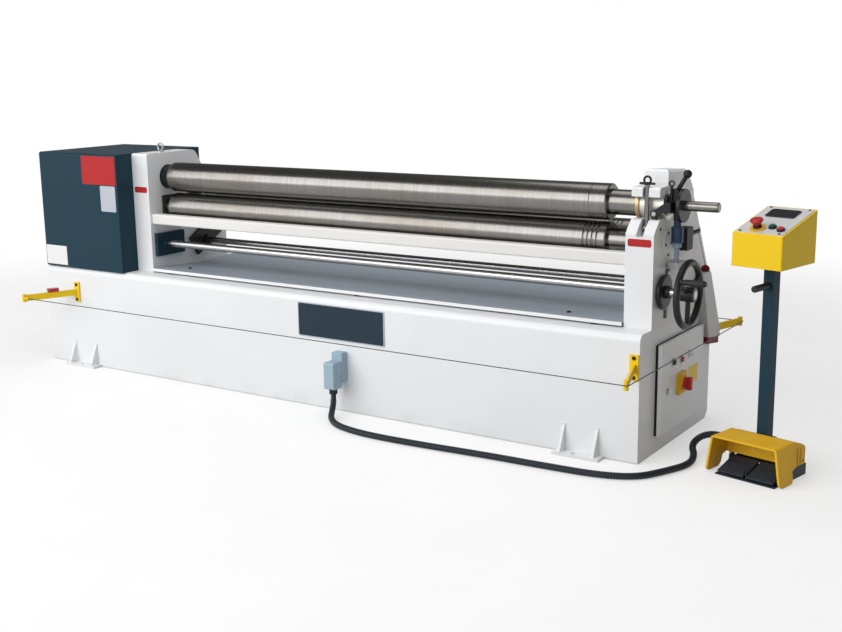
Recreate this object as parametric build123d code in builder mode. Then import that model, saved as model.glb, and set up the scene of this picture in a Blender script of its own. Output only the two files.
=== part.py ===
# Plate rolling machine: three rolls between two uprights on a welded bed, a hinged drop end,
# an end cabinet, a trip wire on four arms and a loose console with a foot switch.
# Millimetres. Origin on the floor at the centre of the bed, +X along the rolls to the drop end,
# +Y to the rear, +Z up. Side profiles are written as (y, z) points.
import os
from math import atan, atan2, cos, degrees, pi, radians, sin, sqrt, tan

from build123d import *

os.makedirs("parts", exist_ok=True)

# Clearances
RUN_FIT = 0.05
SLIDE_GAP = 0.3
OPEN_GAP = 2.0

# Bed and its feet
BED_LENGTH = 3450.0
BED_DEPTH = 776.0
BED_TOP = 527.0
BED_SHEET = 8.0
BED_PLATE = 12.0
RIGHT = BED_LENGTH / 2
LEFT = -RIGHT
REAR = BED_DEPTH / 2
FRONT = -REAR
BOLT_X = RIGHT - 265.0
BOLT_Y = REAR + 30.0
BOLT_HOLE_R = 11.0
FOOT_REACH = 55.0
FOOT_PLATE = 12.0
FOOT_SPANS = ((LEFT + 155.0, LEFT + 375.0), (RIGHT - 355.0, RIGHT - 145.0))
GUSSET_TOP = 125.0
GUSSET = 10.0

# Uprights
LEFT_OUT = LEFT + 586.0
LEFT_IN = LEFT_OUT + 110.0
RIGHT_OUT = RIGHT
RIGHT_IN = RIGHT_OUT - 120.0
UPRIGHT_FRONT = -278.0
LEFT_TOP = 1135.0
RIGHT_TOP = 1012.0
NOSE_TOP = 958.0
SLANT = tan(radians(30))
SLANT_Y, SLANT_Z = 70.0, 1135.0
SLANT_FOOT = BED_TOP + 57.0

# Rolls
ROLL_R = 75.0
PLATE_GAP = 6.0
TOP_Y, TOP_Z = -133.0, 1010.0
LOW_Z = TOP_Z - 2 * ROLL_R - PLATE_GAP
BACK_Y, BACK_Z = 92.0, 838.0
TOP_JOURNAL_R = 45.0
BUSH_JOURNAL_R = 42.0
TAIL_R, TAIL_END = 20.0, RIGHT + 208.0
BUSH_R = 60.0
FLANGE_LEFT, FLANGE_RIGHT, FLANGE_R = RIGHT_IN + 3.0, RIGHT_IN + 17.0, BUSH_R + 7.0
LOW_JOURNAL_R = 40.0
BACK_JOURNAL_R = 36.0
GEAR_SHAFT_R = 36.0

# Sliding bearing blocks in the uprights
LOW_BLOCK, LOW_DROP, LOW_RISE = 110.0, 11.0, 4.0
BACK_BLOCK_W, BACK_BLOCK_L = 96.0, 90.0
BACK_DOWN, BACK_UP = 30.0, 105.0
SLIDE_TILT = 30.0
POCKET_LEFT = LEFT_OUT + 25.0
POCKET_RIGHT = RIGHT_OUT - 35.0
SCREW_R = 14.0

# Cross shafts
FRONT_SHAFT_Y, FRONT_SHAFT_Z, FRONT_SHAFT_R = -188.0, 668.0, 18.0
BACK_SHAFT_Y, BACK_SHAFT_Z, BACK_SHAFT_R = 117.0, 646.0, 16.0
WHEEL_X, WHEEL_R, RIM_R = RIGHT + 113.0, 140.0, 14.0
GRIP_ANGLE = 148.0

# Gear pair behind the left upright
GEAR_TEETH, GEAR_MODULE = 19, 8.0
GEAR_RIGHT = LEFT_OUT - 11.0
GEAR_LEFT = GEAR_RIGHT - 55.0
BACKLASH = 0.3

# Drop end
CAP_LEFT = RIGHT_IN + 1.0
HINGE_Y, HINGE_Z, HINGE_R, KNUCKLE_R = 112.0, 1036.0, 10.0, 22.0
EAR = 28.0
BOLT_AXIS_X = (RIGHT_IN + RIGHT_OUT) / 2
SWING_Y, SWING_Z = -213.0, 922.0
SWING_R, SWING_PIN_R = 10.0, 8.0
TONGUE_TOP = RIGHT_TOP + 74.0
NUT_BOTTOM = TONGUE_TOP + 9.0
ROD_TOP = NUT_BOTTOM + 5.0

# End cabinet, seen on the right end face
RECESS = (RIGHT - 260.0, RIGHT, -218.0, 230.0, 85.0, 445.0)
GASKET = 11.0
DOOR_RIM = 10.0
DOOR_BACK = RIGHT + GASKET
DOOR_FACE = DOOR_BACK + 15.0
DOOR_SHEET = 2.0

# Trip wire
WIRE_X_LEFT, WIRE_X_RIGHT = LEFT + 118.0, RIGHT + 65.0
WIRE_Y, WIRE_Z = REAR + 260.0, 396.0
WIRE_R, ROLLER_R = 2.0, 10.0

# Drive cover
COVER = (LEFT + 5.0, LEFT_OUT, FRONT, 217.0, BED_TOP, LEFT_TOP)
COVER_SHEET = 3.0

# Console with its foot switch: u to its right and v to its rear, from the middle of its front edge
CONSOLE_TURN = 12.0
CONSOLE_RIGHT = (cos(radians(CONSOLE_TURN)), -sin(radians(CONSOLE_TURN)), 0)
CONSOLE = Plane(origin=(RIGHT + 421, FRONT + 34.3, 0), x_dir=CONSOLE_RIGHT, z_dir=(0, 0, 1))
PEDAL_HALF, PEDAL_DEPTH, PEDAL_BASE_Z = 127.0, 238.0, 44.0
HOOD_U, HOOD_HALF_TOP, HOOD_HALF_FOOT = -11.0, 139.0, 162.0
HOOD_TOP, HOOD_DEPTH = 153.0, 135.0
HOUSING_HALF, HOUSING_BACK_Z, POST_SEAT = 136.0, 98.0, 118.0
GUARD_SHEET = 8.0
POST_U, POST_V, POST_TOP = -28.0, 190.0, 811.0
FOOT_HALF = 36.0
BOX_WIDTH, BOX_V0, BOX_DEPTH = 209.0, 65.0, 257.0
BOX_U0, BOX_U1, BOX_V1 = POST_U - BOX_WIDTH / 2, POST_U + BOX_WIDTH / 2, BOX_V0 + BOX_DEPTH
BOX_FRONT_Z = POST_TOP + 126.0
BOX_BACK_Z = BOX_FRONT_Z + 76.0
PANEL_TILT = degrees(atan2(BOX_BACK_Z - BOX_FRONT_Z, BOX_DEPTH))
PANEL_SHEET = 3.0

# Control conduit from the plug to the foot switch: route points chosen by hand
CONDUIT_R, CONDUIT_ROOT_R, CONDUIT_BORE_R = 14.0, 12.2, 10.0
RIBS = 200
PLUG_X, GLAND_Y, GLAND_Z = 268.0, FRONT - 73.0, 104.0
CONDUIT_ROUTE = [
    (PLUG_X, GLAND_Y, GLAND_Z),
    (PLUG_X, GLAND_Y, 62.0),
    (PLUG_X + 13.0, FRONT - 106.0, 27.0),
    (PLUG_X + 54.0, FRONT - 168.0, 15.0),
    (PLUG_X + 147.0, FRONT - 236.0, 15.0),
    (PLUG_X + 322.0, FRONT - 270.0, 15.0),
    (PLUG_X + 592.0, FRONT - 264.0, 15.0),
    (RIGHT - 575.0, FRONT - 242.0, 15.0),
    (RIGHT - 285.0, FRONT - 234.0, 15.0),
    (RIGHT - 65.0, FRONT - 215.0, 15.0),
    (RIGHT + 80.0, FRONT - 152.0, 15.0),
    (RIGHT + 147.0, FRONT - 37.0, 15.0),
    (RIGHT + 159.0, FRONT + 78.0, 15.0),
    (RIGHT + 147.0, FRONT + 173.0, 19.0),
    (RIGHT + 149.0, FRONT + 240.0, 38.0),
    (RIGHT + 169.0, FRONT + 284.0, 60.0),
    (RIGHT + 203.0, FRONT + 302.0, 77.0),
    (RIGHT + 240.0, FRONT + 292.0, 85.0),
    (RIGHT + 275.402, FRONT + 272.783, 85.0),
    (RIGHT + 319.414, FRONT + 263.428, 85.0),
]


def block(x0, x1, y0, y1, z0, z1, mode=Mode.ADD):
    """A box between two corners."""
    with Locations(((x0 + x1) / 2, (y0 + y1) / 2, (z0 + z1) / 2)):
        Box(x1 - x0, y1 - y0, z1 - z0, mode=mode)


def rod_x(x0, x1, y, z, radius, mode=Mode.ADD):
    with Locations(((x0 + x1) / 2, y, z)):
        Cylinder(radius, x1 - x0, rotation=(0, 90, 0), mode=mode)


def rod_y(x, y0, y1, z, radius, mode=Mode.ADD):
    with Locations((x, (y0 + y1) / 2, z)):
        Cylinder(radius, y1 - y0, rotation=(90, 0, 0), mode=mode)


def rod_z(x, y, z0, z1, radius, mode=Mode.ADD):
    with Locations((x, y, (z0 + z1) / 2)):
        Cylinder(radius, z1 - z0, mode=mode)


def prism(plane, points, length, mode):
    with BuildSketch(plane) as outline:
        with BuildLine():
            Polyline(*points, close=True)
        make_face()
    extrude(outline.sketch, amount=length, mode=mode)


def side_prism(points, x0, x1, mode=Mode.ADD):
    """A (y, z) outline from x0 to x1."""
    prism(Plane.YZ.offset(x0), points, x1 - x0, mode)


def front_prism(points, y0, y1, mode=Mode.ADD):
    """An (x, z) outline from y0 back to y1."""
    prism(Plane.XZ.offset(-y1), points, y1 - y0, mode)


def top_prism(points, z0, z1, mode=Mode.ADD):
    """An (x, y) outline from z0 up to z1."""
    prism(Plane.XY.offset(z0), points, z1 - z0, mode)


def bar(start, end, radius, mode=Mode.ADD):
    """A round bar between two points."""
    axis = Vector(*end) - Vector(*start)
    with BuildSketch(Plane(origin=start, z_dir=axis)) as section:
        Circle(radius)
    extrude(section.sketch, amount=axis.length, mode=mode)


def turned(profile, y, z):
    """A part turned about a line along X, from (x, radius) points that start and end on the axis."""
    with BuildSketch(Plane(origin=(0, y, z), x_dir=(1, 0, 0), z_dir=(0, -1, 0))) as outline:
        with BuildLine():
            Polyline(*profile, close=True)
        make_face()
    revolve(outline.sketch, axis=Axis((0, y, z), (1, 0, 0)))


def edges_along_x(part, *places):
    """Edges along X through the given (y, z) places."""
    def at_place(edge):
        return any(abs(edge.center().Y - y) + abs(edge.center().Z - z) < 0.2 for y, z in places)
    return part.edges().filter_by(Axis.X).filter_by(at_place)


def save(builder, name, place=Plane.XY):
    """Label a finished piece, put it in its place and write it."""
    piece = place.location * builder.part
    piece.label = name
    export_step(piece, f"parts/{name}.step")


def slant_y(z):
    """The sloping rear edge of the uprights."""
    return SLANT_Y + SLANT * (SLANT_Z - z)


def along_slide(distance, across=0.0):
    """A (y, z) point of the rear roll's slide, measured from the roll's axis at rest."""
    tilt = radians(SLIDE_TILT)
    y = BACK_Y - distance * sin(tilt) + across * cos(tilt)
    z = BACK_Z + distance * cos(tilt) + across * sin(tilt)
    return y, z


def slide_slot(low, high, half_width):
    """The (y, z) corners of a slot along the rear roll's slide."""
    return [along_slide(low, -half_width), along_slide(low, half_width),
            along_slide(high, half_width), along_slide(high, -half_width)]


def low_slot(x0, x1):
    half = LOW_BLOCK / 2 + SLIDE_GAP
    low, high = LOW_Z - LOW_DROP - half - OPEN_GAP, LOW_Z + LOW_RISE + half + OPEN_GAP
    block(x0, x1, TOP_Y - half, TOP_Y + half, low, high, Mode.SUBTRACT)


def back_slot(x0, x1):
    half_length = BACK_BLOCK_L / 2 + OPEN_GAP
    corners = slide_slot(-BACK_DOWN - half_length, BACK_UP + half_length, BACK_BLOCK_W / 2 + SLIDE_GAP)
    side_prism(corners, x0, x1, Mode.SUBTRACT)


LOW_SCREW_TOP = LOW_Z - LOW_BLOCK / 2
LOW_SCREW_LENGTH = 80.0
BACK_SCREW_LENGTH = 70.0
SCREW_HOLE_R = SCREW_R + 1.0
SCREW_X_LEFT = (POCKET_LEFT + LEFT_IN) / 2
SCREW_X_RIGHT = (RIGHT_IN + POCKET_RIGHT) / 2


def screw_holes(x):
    """Blind holes below both slots for the screws that lift the blocks."""
    rod_z(x, TOP_Y, LOW_SCREW_TOP - LOW_DROP - LOW_SCREW_LENGTH - OPEN_GAP, LOW_SCREW_TOP, SCREW_HOLE_R,
          Mode.SUBTRACT)
    low = -BACK_DOWN - BACK_BLOCK_L / 2
    bar((x, *along_slide(low - BACK_SCREW_LENGTH - OPEN_GAP)), (x, *along_slide(low)), SCREW_HOLE_R,
        Mode.SUBTRACT)


# Bed with its feet and the recess of the end cabinet
with BuildPart() as base_bed:
    block(LEFT, RIGHT, FRONT, REAR, 0, BED_TOP)
    fillet(edges_along_x(base_bed, (FRONT, BED_TOP)), 30)
    fillet(edges_along_x(base_bed, (REAR, BED_TOP)), 10)
    chamfer(edges_along_x(base_bed, (REAR, 0)), 30)
    fillet(edges_along_x(base_bed, (FRONT, 0)), 8)
    side_prism([(FRONT + BED_SHEET, BED_PLATE), (FRONT + BED_SHEET, BED_TOP - 30),
                (FRONT + 30, BED_TOP - BED_PLATE), (REAR - BED_PLATE, BED_TOP - BED_PLATE),
                (REAR - BED_SHEET, BED_TOP - 30), (REAR - BED_SHEET, 36), (REAR - 36, BED_PLATE)],
               LEFT + BED_SHEET, RIGHT - BED_SHEET, Mode.SUBTRACT)
    x0, x1, y0, y1, z0, z1 = RECESS
    block(x0 - BED_SHEET, x1, y0 - BED_SHEET, y1 + BED_SHEET, z0 - BED_SHEET, z1 + BED_SHEET)
    block(*RECESS, Mode.SUBTRACT)
    for foot_left, foot_right in FOOT_SPANS:
        for side in (-1, 1):
            y_in, y_out = side * REAR, side * (REAR + FOOT_REACH)
            wall = side * (REAR - 31 if side > 0 else REAR - BED_SHEET)
            block(foot_left, foot_right, min(wall, y_out), max(wall, y_out), 0, FOOT_PLATE)
            for gusset in (foot_left + 25, foot_right - 25 - GUSSET):
                side_prism([(wall, FOOT_PLATE), (y_out - side * 6, FOOT_PLATE), (y_in, GUSSET_TOP),
                            (wall, GUSSET_TOP)], gusset, gusset + GUSSET)
    with Locations(*[(x, y, FOOT_PLATE) for x in (-BOLT_X, BOLT_X) for y in (-BOLT_Y, BOLT_Y)]):
        Hole(BOLT_HOLE_R, depth=FOOT_PLATE)
save(base_bed, "base_bed")

# Bare name panel on the front face
PANEL_X0, PANEL_X1, PANEL_Z0, PANEL_Z1 = 19.0, 508.0, BED_TOP - 192.0, BED_TOP - 32.0
with BuildPart() as name_panel:
    block(PANEL_X0, PANEL_X1, FRONT - 3, FRONT, PANEL_Z0, PANEL_Z1)
    fillet(name_panel.edges().filter_by(Axis.Y), 6)
save(name_panel, "name_panel")

# Left upright: carries the drive journal of the top roll
LEFT_BEARING_R = 62.0
LEFT_REAR = REAR - 104.0
LEFT_REAR_TOP = SLANT_Z - (LEFT_REAR - SLANT_Y) / SLANT
with BuildPart() as left_frame:
    side_prism([(UPRIGHT_FRONT, BED_TOP), (UPRIGHT_FRONT, LEFT_TOP), (SLANT_Y, LEFT_TOP),
                (LEFT_REAR, LEFT_REAR_TOP), (LEFT_REAR, BED_TOP)], LEFT_OUT, LEFT_IN)
    fillet(edges_along_x(left_frame, (UPRIGHT_FRONT, LEFT_TOP)), 12)
    fillet(edges_along_x(left_frame, (SLANT_Y, LEFT_TOP)), 40)
    rod_x(LEFT_OUT, LEFT_IN, TOP_Y, TOP_Z, LEFT_BEARING_R, Mode.SUBTRACT)
    low_slot(LEFT_OUT, LEFT_IN)
    back_slot(POCKET_LEFT, LEFT_IN)
    screw_holes(SCREW_X_LEFT)
    rod_x(LEFT_OUT, LEFT_IN, FRONT_SHAFT_Y, FRONT_SHAFT_Z, FRONT_SHAFT_R + RUN_FIT, Mode.SUBTRACT)
    rod_x(LEFT_OUT, LEFT_IN, BACK_SHAFT_Y, BACK_SHAFT_Z, BACK_SHAFT_R + RUN_FIT, Mode.SUBTRACT)
save(left_frame, "left_frame")

# Right upright: open saddle for the bush, nose slot for the swing bolt, ears for the cap hinge
NOSE_HALF = 15.0
NOSE_SLOT_BACK = -196.0
NOSE_SLOT_BOTTOM = 895.0
with BuildPart() as right_frame:
    side_prism([(UPRIGHT_FRONT, BED_TOP), (UPRIGHT_FRONT, 905), (-262, 925), (-225, NOSE_TOP),
                (TOP_Y, NOSE_TOP), (TOP_Y, RIGHT_TOP), (slant_y(RIGHT_TOP), RIGHT_TOP),
                (slant_y(SLANT_FOOT), SLANT_FOOT), (slant_y(SLANT_FOOT), BED_TOP)], RIGHT_IN, RIGHT_OUT)
    fillet(edges_along_x(right_frame, (-262, 925), (-225, NOSE_TOP)), 20)
    rod_x(RIGHT_IN, RIGHT_OUT, TOP_Y, TOP_Z, BUSH_R, Mode.SUBTRACT)
    rod_x(RIGHT_IN, FLANGE_RIGHT, TOP_Y, TOP_Z, FLANGE_R, Mode.SUBTRACT)
    low_slot(RIGHT_IN, POCKET_RIGHT)
    back_slot(RIGHT_IN, POCKET_RIGHT)
    screw_holes(SCREW_X_RIGHT)
    rod_x(RIGHT_IN, RIGHT_OUT, FRONT_SHAFT_Y, FRONT_SHAFT_Z, FRONT_SHAFT_R + RUN_FIT, Mode.SUBTRACT)
    rod_x(RIGHT_IN, POCKET_RIGHT, BACK_SHAFT_Y, BACK_SHAFT_Z, BACK_SHAFT_R + RUN_FIT, Mode.SUBTRACT)
    block(BOLT_AXIS_X - NOSE_HALF, BOLT_AXIS_X + NOSE_HALF, UPRIGHT_FRONT - 1, NOSE_SLOT_BACK,
          NOSE_SLOT_BOTTOM, NOSE_TOP + 1, Mode.SUBTRACT)
    rod_x(RIGHT_IN, RIGHT_OUT, SWING_Y, SWING_Z, SWING_PIN_R, Mode.SUBTRACT)
    for ear_left in (RIGHT_IN, RIGHT_OUT - EAR):
        rod_x(ear_left, ear_left + EAR, HINGE_Y, HINGE_Z, KNUCKLE_R)
        block(ear_left, ear_left + EAR, HINGE_Y - KNUCKLE_R, HINGE_Y + KNUCKLE_R, RIGHT_TOP - 4, HINGE_Z)
    rod_x(RIGHT_IN, RIGHT_OUT, HINGE_Y, HINGE_Z, HINGE_R, Mode.SUBTRACT)
save(right_frame, "right_frame")

# Tie beam between the uprights
with BuildPart() as front_tie_beam:
    block(LEFT_IN, RIGHT_IN, UPRIGHT_FRONT + 12, UPRIGHT_FRONT + 62, LOW_Z - 79, LOW_Z - 27)
    fillet(front_tie_beam.edges().filter_by(Axis.X), 8)
save(front_tie_beam, "front_tie_beam")

# Chip tray: one folded sheet on the bed, with a lip at the front and posts under the lip
TRAY_X0, TRAY_X1 = LEFT_IN + 3, RIGHT_IN - 3
TRAY_LIP_Y, TRAY_LIP_TOP, TRAY_FOLD_Y, TRAY_BACK_Z = -291.0, 549.0, 55.0, 541.0
TRAY_SHEET = 3.0
with BuildPart() as chip_tray:
    side_prism([(TRAY_LIP_Y, BED_TOP + 7), (TRAY_LIP_Y, TRAY_LIP_TOP), (TRAY_FOLD_Y, BED_TOP + TRAY_SHEET),
                (REAR - 10, TRAY_BACK_Z), (REAR - 10, TRAY_BACK_Z - TRAY_SHEET), (TRAY_FOLD_Y, BED_TOP),
                (TRAY_LIP_Y + TRAY_SHEET, TRAY_LIP_TOP - TRAY_SHEET),
                (TRAY_LIP_Y + TRAY_SHEET, BED_TOP + 7)], TRAY_X0, TRAY_X1)
    for x in (TRAY_X0 + 126, (TRAY_X0 + TRAY_X1) / 2, TRAY_X1 - 122):
        block(x - 15, x + 15, TRAY_LIP_Y + TRAY_SHEET - 1, TRAY_LIP_Y + 16, BED_TOP, TRAY_LIP_TOP - 4)
save(chip_tray, "chip_tray")

# Sheet-metal drive cover over the gears and motors, open below and behind the left upright
with BuildPart() as drive_cover:
    x0, x1, y0, y1, z0, z1 = COVER
    block(*COVER)
    fillet(edges_along_x(drive_cover, (y0, z1)), 12)
    block(x0 + COVER_SHEET, x1 - COVER_SHEET, y0 + COVER_SHEET, y1 - COVER_SHEET, z0, z1 - 14,
          Mode.SUBTRACT)
    block(x1 - COVER_SHEET, x1, -262, 150, z0, z1 - 60, Mode.SUBTRACT)
save(drive_cover, "drive_cover")

# Top roll with its tail bar, and the bearings at its two ends
ROLL_LEFT, ROLL_RIGHT = LEFT_IN + 59.0, RIGHT_IN - 123.0
NECK_R, NECK_END = 52.0, RIGHT_IN - 1.0
MARK_X, MARK_DEPTH = ROLL_RIGHT - 75.0, 1.5
DRIVE_END = GEAR_LEFT - 213.0
with BuildPart() as top_roll:
    turned([(DRIVE_END, 0), (DRIVE_END, TOP_JOURNAL_R - 3), (DRIVE_END + 3, TOP_JOURNAL_R),
            (ROLL_LEFT, TOP_JOURNAL_R), (ROLL_LEFT, ROLL_R - 4), (ROLL_LEFT + 4, ROLL_R),
            (MARK_X - 2, ROLL_R), (MARK_X, ROLL_R - MARK_DEPTH), (MARK_X + 2, ROLL_R), (ROLL_RIGHT - 4, ROLL_R),
            (ROLL_RIGHT, ROLL_R - 4), (ROLL_RIGHT, NECK_R), (NECK_END, NECK_R), (NECK_END, BUSH_JOURNAL_R),
            (RIGHT + 5, BUSH_JOURNAL_R), (RIGHT + 5, TAIL_R), (TAIL_END - 3, TAIL_R),
            (TAIL_END, TAIL_R - 3), (TAIL_END, 0)], TOP_Y, TOP_Z)
save(top_roll, "top_roll")

COLLAR_END = ROLL_LEFT - 9.0
with BuildPart() as left_bearing:
    rod_x(LEFT_OUT, LEFT_IN, TOP_Y, TOP_Z, LEFT_BEARING_R)
    rod_x(LEFT_IN, COLLAR_END, TOP_Y, TOP_Z, LEFT_BEARING_R - 5)
    rod_x(LEFT_OUT, COLLAR_END, TOP_Y, TOP_Z, TOP_JOURNAL_R + RUN_FIT, Mode.SUBTRACT)
save(left_bearing, "left_bearing")

with BuildPart() as right_bush:
    rod_x(FLANGE_LEFT, RIGHT_OUT, TOP_Y, TOP_Z, BUSH_R)
    rod_x(FLANGE_LEFT, FLANGE_RIGHT, TOP_Y, TOP_Z, FLANGE_R)
    rod_x(FLANGE_LEFT, RIGHT_OUT, TOP_Y, TOP_Z, BUSH_JOURNAL_R + RUN_FIT, Mode.SUBTRACT)
save(right_bush, "right_bush")

# Lower roll with four wire grooves, in blocks that the handwheel raises and lowers
LOW_BLOCK_LEFT = (LEFT_OUT, LEFT_IN)
BLOCK_RIGHT = (RIGHT_IN, POCKET_RIGHT - OPEN_GAP)
GROOVES = [ROLL_RIGHT - distance for distance in (97.0, 77.0, 57.0, 37.0)]
GROOVE_R = 5.0
LOW_NECK_END = RIGHT_IN - 4.0
with BuildPart() as lower_roll:
    turned([(GEAR_LEFT - 5, 0), (GEAR_LEFT - 5, GEAR_SHAFT_R), (LEFT_OUT - 4, GEAR_SHAFT_R),
            (LEFT_OUT - 4, LOW_JOURNAL_R), (ROLL_LEFT, LOW_JOURNAL_R), (ROLL_LEFT, ROLL_R - 4),
            (ROLL_LEFT + 4, ROLL_R), (ROLL_RIGHT - 4, ROLL_R), (ROLL_RIGHT, ROLL_R - 4), (ROLL_RIGHT, NECK_R),
            (LOW_NECK_END, NECK_R), (LOW_NECK_END, LOW_JOURNAL_R), (POCKET_RIGHT - 4, LOW_JOURNAL_R),
            (POCKET_RIGHT - 4, 0)], TOP_Y, LOW_Z)
    for x in GROOVES:
        with Locations((x, TOP_Y, LOW_Z)):
            Torus(ROLL_R, GROOVE_R, rotation=(0, 90, 0), mode=Mode.SUBTRACT)
save(lower_roll, "lower_roll")

with BuildPart() as lower_blocks:
    for (x0, x1), screw_x in ((LOW_BLOCK_LEFT, SCREW_X_LEFT), (BLOCK_RIGHT, SCREW_X_RIGHT)):
        half = LOW_BLOCK / 2
        block(x0, x1, TOP_Y - half, TOP_Y + half, LOW_Z - half, LOW_Z + half)
        rod_z(screw_x, TOP_Y, LOW_SCREW_TOP - LOW_SCREW_LENGTH, LOW_SCREW_TOP, SCREW_R)
        rod_x(x0, x1, TOP_Y, LOW_Z, LOW_JOURNAL_R + RUN_FIT, Mode.SUBTRACT)
save(lower_blocks, "lower_blocks")

# Rear bending roll, in blocks on the inclined slide
BACK_BLOCK_LEFT = (POCKET_LEFT + OPEN_GAP, LEFT_IN)
with BuildPart() as rear_roll:
    turned([(POCKET_LEFT + 4, 0), (POCKET_LEFT + 4, BACK_JOURNAL_R), (ROLL_LEFT, BACK_JOURNAL_R),
            (ROLL_LEFT, ROLL_R - 4), (ROLL_LEFT + 4, ROLL_R), (ROLL_RIGHT - 4, ROLL_R),
            (ROLL_RIGHT, ROLL_R - 4), (ROLL_RIGHT, NECK_R), (LOW_NECK_END, NECK_R),
            (LOW_NECK_END, BACK_JOURNAL_R), (POCKET_RIGHT - 4, BACK_JOURNAL_R), (POCKET_RIGHT - 4, 0)],
           BACK_Y, BACK_Z)
    for x in GROOVES:
        with Locations((x, BACK_Y, BACK_Z)):
            Torus(ROLL_R, GROOVE_R, rotation=(0, 90, 0), mode=Mode.SUBTRACT)
save(rear_roll, "rear_roll")

with BuildPart() as rear_blocks:
    for (x0, x1), screw_x in ((BACK_BLOCK_LEFT, SCREW_X_LEFT), (BLOCK_RIGHT, SCREW_X_RIGHT)):
        half_length = BACK_BLOCK_L / 2
        side_prism(slide_slot(-half_length, half_length, BACK_BLOCK_W / 2), x0, x1)
        bar((screw_x, *along_slide(-half_length - BACK_SCREW_LENGTH)), (screw_x, *along_slide(-half_length)),
            SCREW_R)
        rod_x(x0, x1, BACK_Y, BACK_Z, BACK_JOURNAL_R + RUN_FIT, Mode.SUBTRACT)
save(rear_blocks, "rear_blocks")


# Gear pair that turns the two driven rolls together
def gear(y, z, bore, first_tooth):
    """An involute gear between the gear faces, with one tooth at the given angle in degrees."""
    pitch_r = GEAR_TEETH * GEAR_MODULE / 2
    base_r, tip_r, root_r = pitch_r * cos(radians(20)), pitch_r + GEAR_MODULE, pitch_r - 1.25 * GEAR_MODULE

    def roll_angle(radius):
        unwound = sqrt(max((radius / base_r) ** 2 - 1, 0))
        return unwound - atan(unwound)

    half_tooth = pi / (2 * GEAR_TEETH) - BACKLASH / (2 * pitch_r) + roll_angle(pitch_r)
    flank = [(root_r, half_tooth)]
    flank += [(r, half_tooth - roll_angle(r)) for r in [base_r + (tip_r - base_r) * k / 4 for k in range(5)]]
    outline = []
    for tooth in range(GEAR_TEETH):
        middle = radians(first_tooth) + 2 * pi * tooth / GEAR_TEETH
        outline += [(y + r * cos(middle - a), z + r * sin(middle - a)) for r, a in flank]
        outline += [(y + r * cos(middle + a), z + r * sin(middle + a)) for r, a in reversed(flank)]
    side_prism(outline, GEAR_LEFT, GEAR_RIGHT)
    rod_x(GEAR_LEFT, GEAR_RIGHT, y, z, bore, Mode.SUBTRACT)


with BuildPart() as top_roll_gear:
    gear(TOP_Y, TOP_Z, TOP_JOURNAL_R, -90)
save(top_roll_gear, "top_roll_gear")

with BuildPart() as lower_roll_gear:
    gear(TOP_Y, LOW_Z, GEAR_SHAFT_R, 90 + 180 / GEAR_TEETH)
save(lower_roll_gear, "lower_roll_gear")

# Reducer on the end of the top roll with its motor below, on a stand on the bed
REDUCER_LEFT, REDUCER_RIGHT = DRIVE_END - 2, GEAR_LEFT - 25
MOTOR_Z, MOTOR_R = TOP_Z - 270.0, 88.0
with BuildPart() as drive_gearmotor:
    block(REDUCER_LEFT, REDUCER_RIGHT, TOP_Y - 112, TOP_Y + 108, TOP_Z - 120, TOP_Z + 102)
    fillet(drive_gearmotor.edges().filter_by(Axis.X), 25)
    block(REDUCER_LEFT, REDUCER_LEFT + 100, TOP_Y - 82, TOP_Y + 83, MOTOR_Z - 100, TOP_Z - 110)
    block(REDUCER_LEFT - 140, REDUCER_LEFT + 100, TOP_Y - 60, TOP_Y + 60, BED_TOP, MOTOR_Z - 80)
    rod_x(REDUCER_LEFT - 260, REDUCER_LEFT + 40, TOP_Y, MOTOR_Z, MOTOR_R)
    rod_x(REDUCER_LEFT - 1, REDUCER_RIGHT + 1, TOP_Y, TOP_Z, TOP_JOURNAL_R + RUN_FIT, Mode.SUBTRACT)
save(drive_gearmotor, "drive_gearmotor")

# Cross shafts: the front one with its handwheel and dial, the rear one with its gearmotor
COLLAR_R = FRONT_SHAFT_R + 9
with BuildPart() as front_shaft:
    turned([(LEFT_OUT, 0), (LEFT_OUT, FRONT_SHAFT_R), (RIGHT_IN - 27, FRONT_SHAFT_R),
            (RIGHT_IN - 27, COLLAR_R), (RIGHT_IN - 3, COLLAR_R), (RIGHT_IN - 3, FRONT_SHAFT_R),
            (WHEEL_X + 30, FRONT_SHAFT_R), (WHEEL_X + 30, 0)], FRONT_SHAFT_Y, FRONT_SHAFT_Z)
save(front_shaft, "front_shaft")

LIFT_RIGHT = LEFT_OUT - 31.0
LIFT_LEFT = LIFT_RIGHT - 120.0
with BuildPart() as rear_shaft:
    rod_x(LIFT_LEFT + 10, POCKET_RIGHT - 4, BACK_SHAFT_Y, BACK_SHAFT_Z, BACK_SHAFT_R)
save(rear_shaft, "rear_shaft")

with BuildPart() as lift_gearmotor:
    block(LIFT_LEFT, LIFT_RIGHT, BACK_SHAFT_Y - 60, BACK_SHAFT_Y + 60, BACK_SHAFT_Z - 68, BACK_SHAFT_Z + 60)
    fillet(lift_gearmotor.edges().filter_by(Axis.X), 12)
    block(LIFT_LEFT + 5, LIFT_RIGHT - 5, BACK_SHAFT_Y - 50, BACK_SHAFT_Y + 50, BED_TOP, BACK_SHAFT_Z - 48)
    rod_x(LIFT_LEFT - 210, LIFT_LEFT + 6, BACK_SHAFT_Y, BACK_SHAFT_Z, 58)
    rod_x(LIFT_LEFT + 8, LIFT_RIGHT, BACK_SHAFT_Y, BACK_SHAFT_Z, BACK_SHAFT_R + RUN_FIT, Mode.SUBTRACT)
save(lift_gearmotor, "lift_gearmotor")

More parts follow.
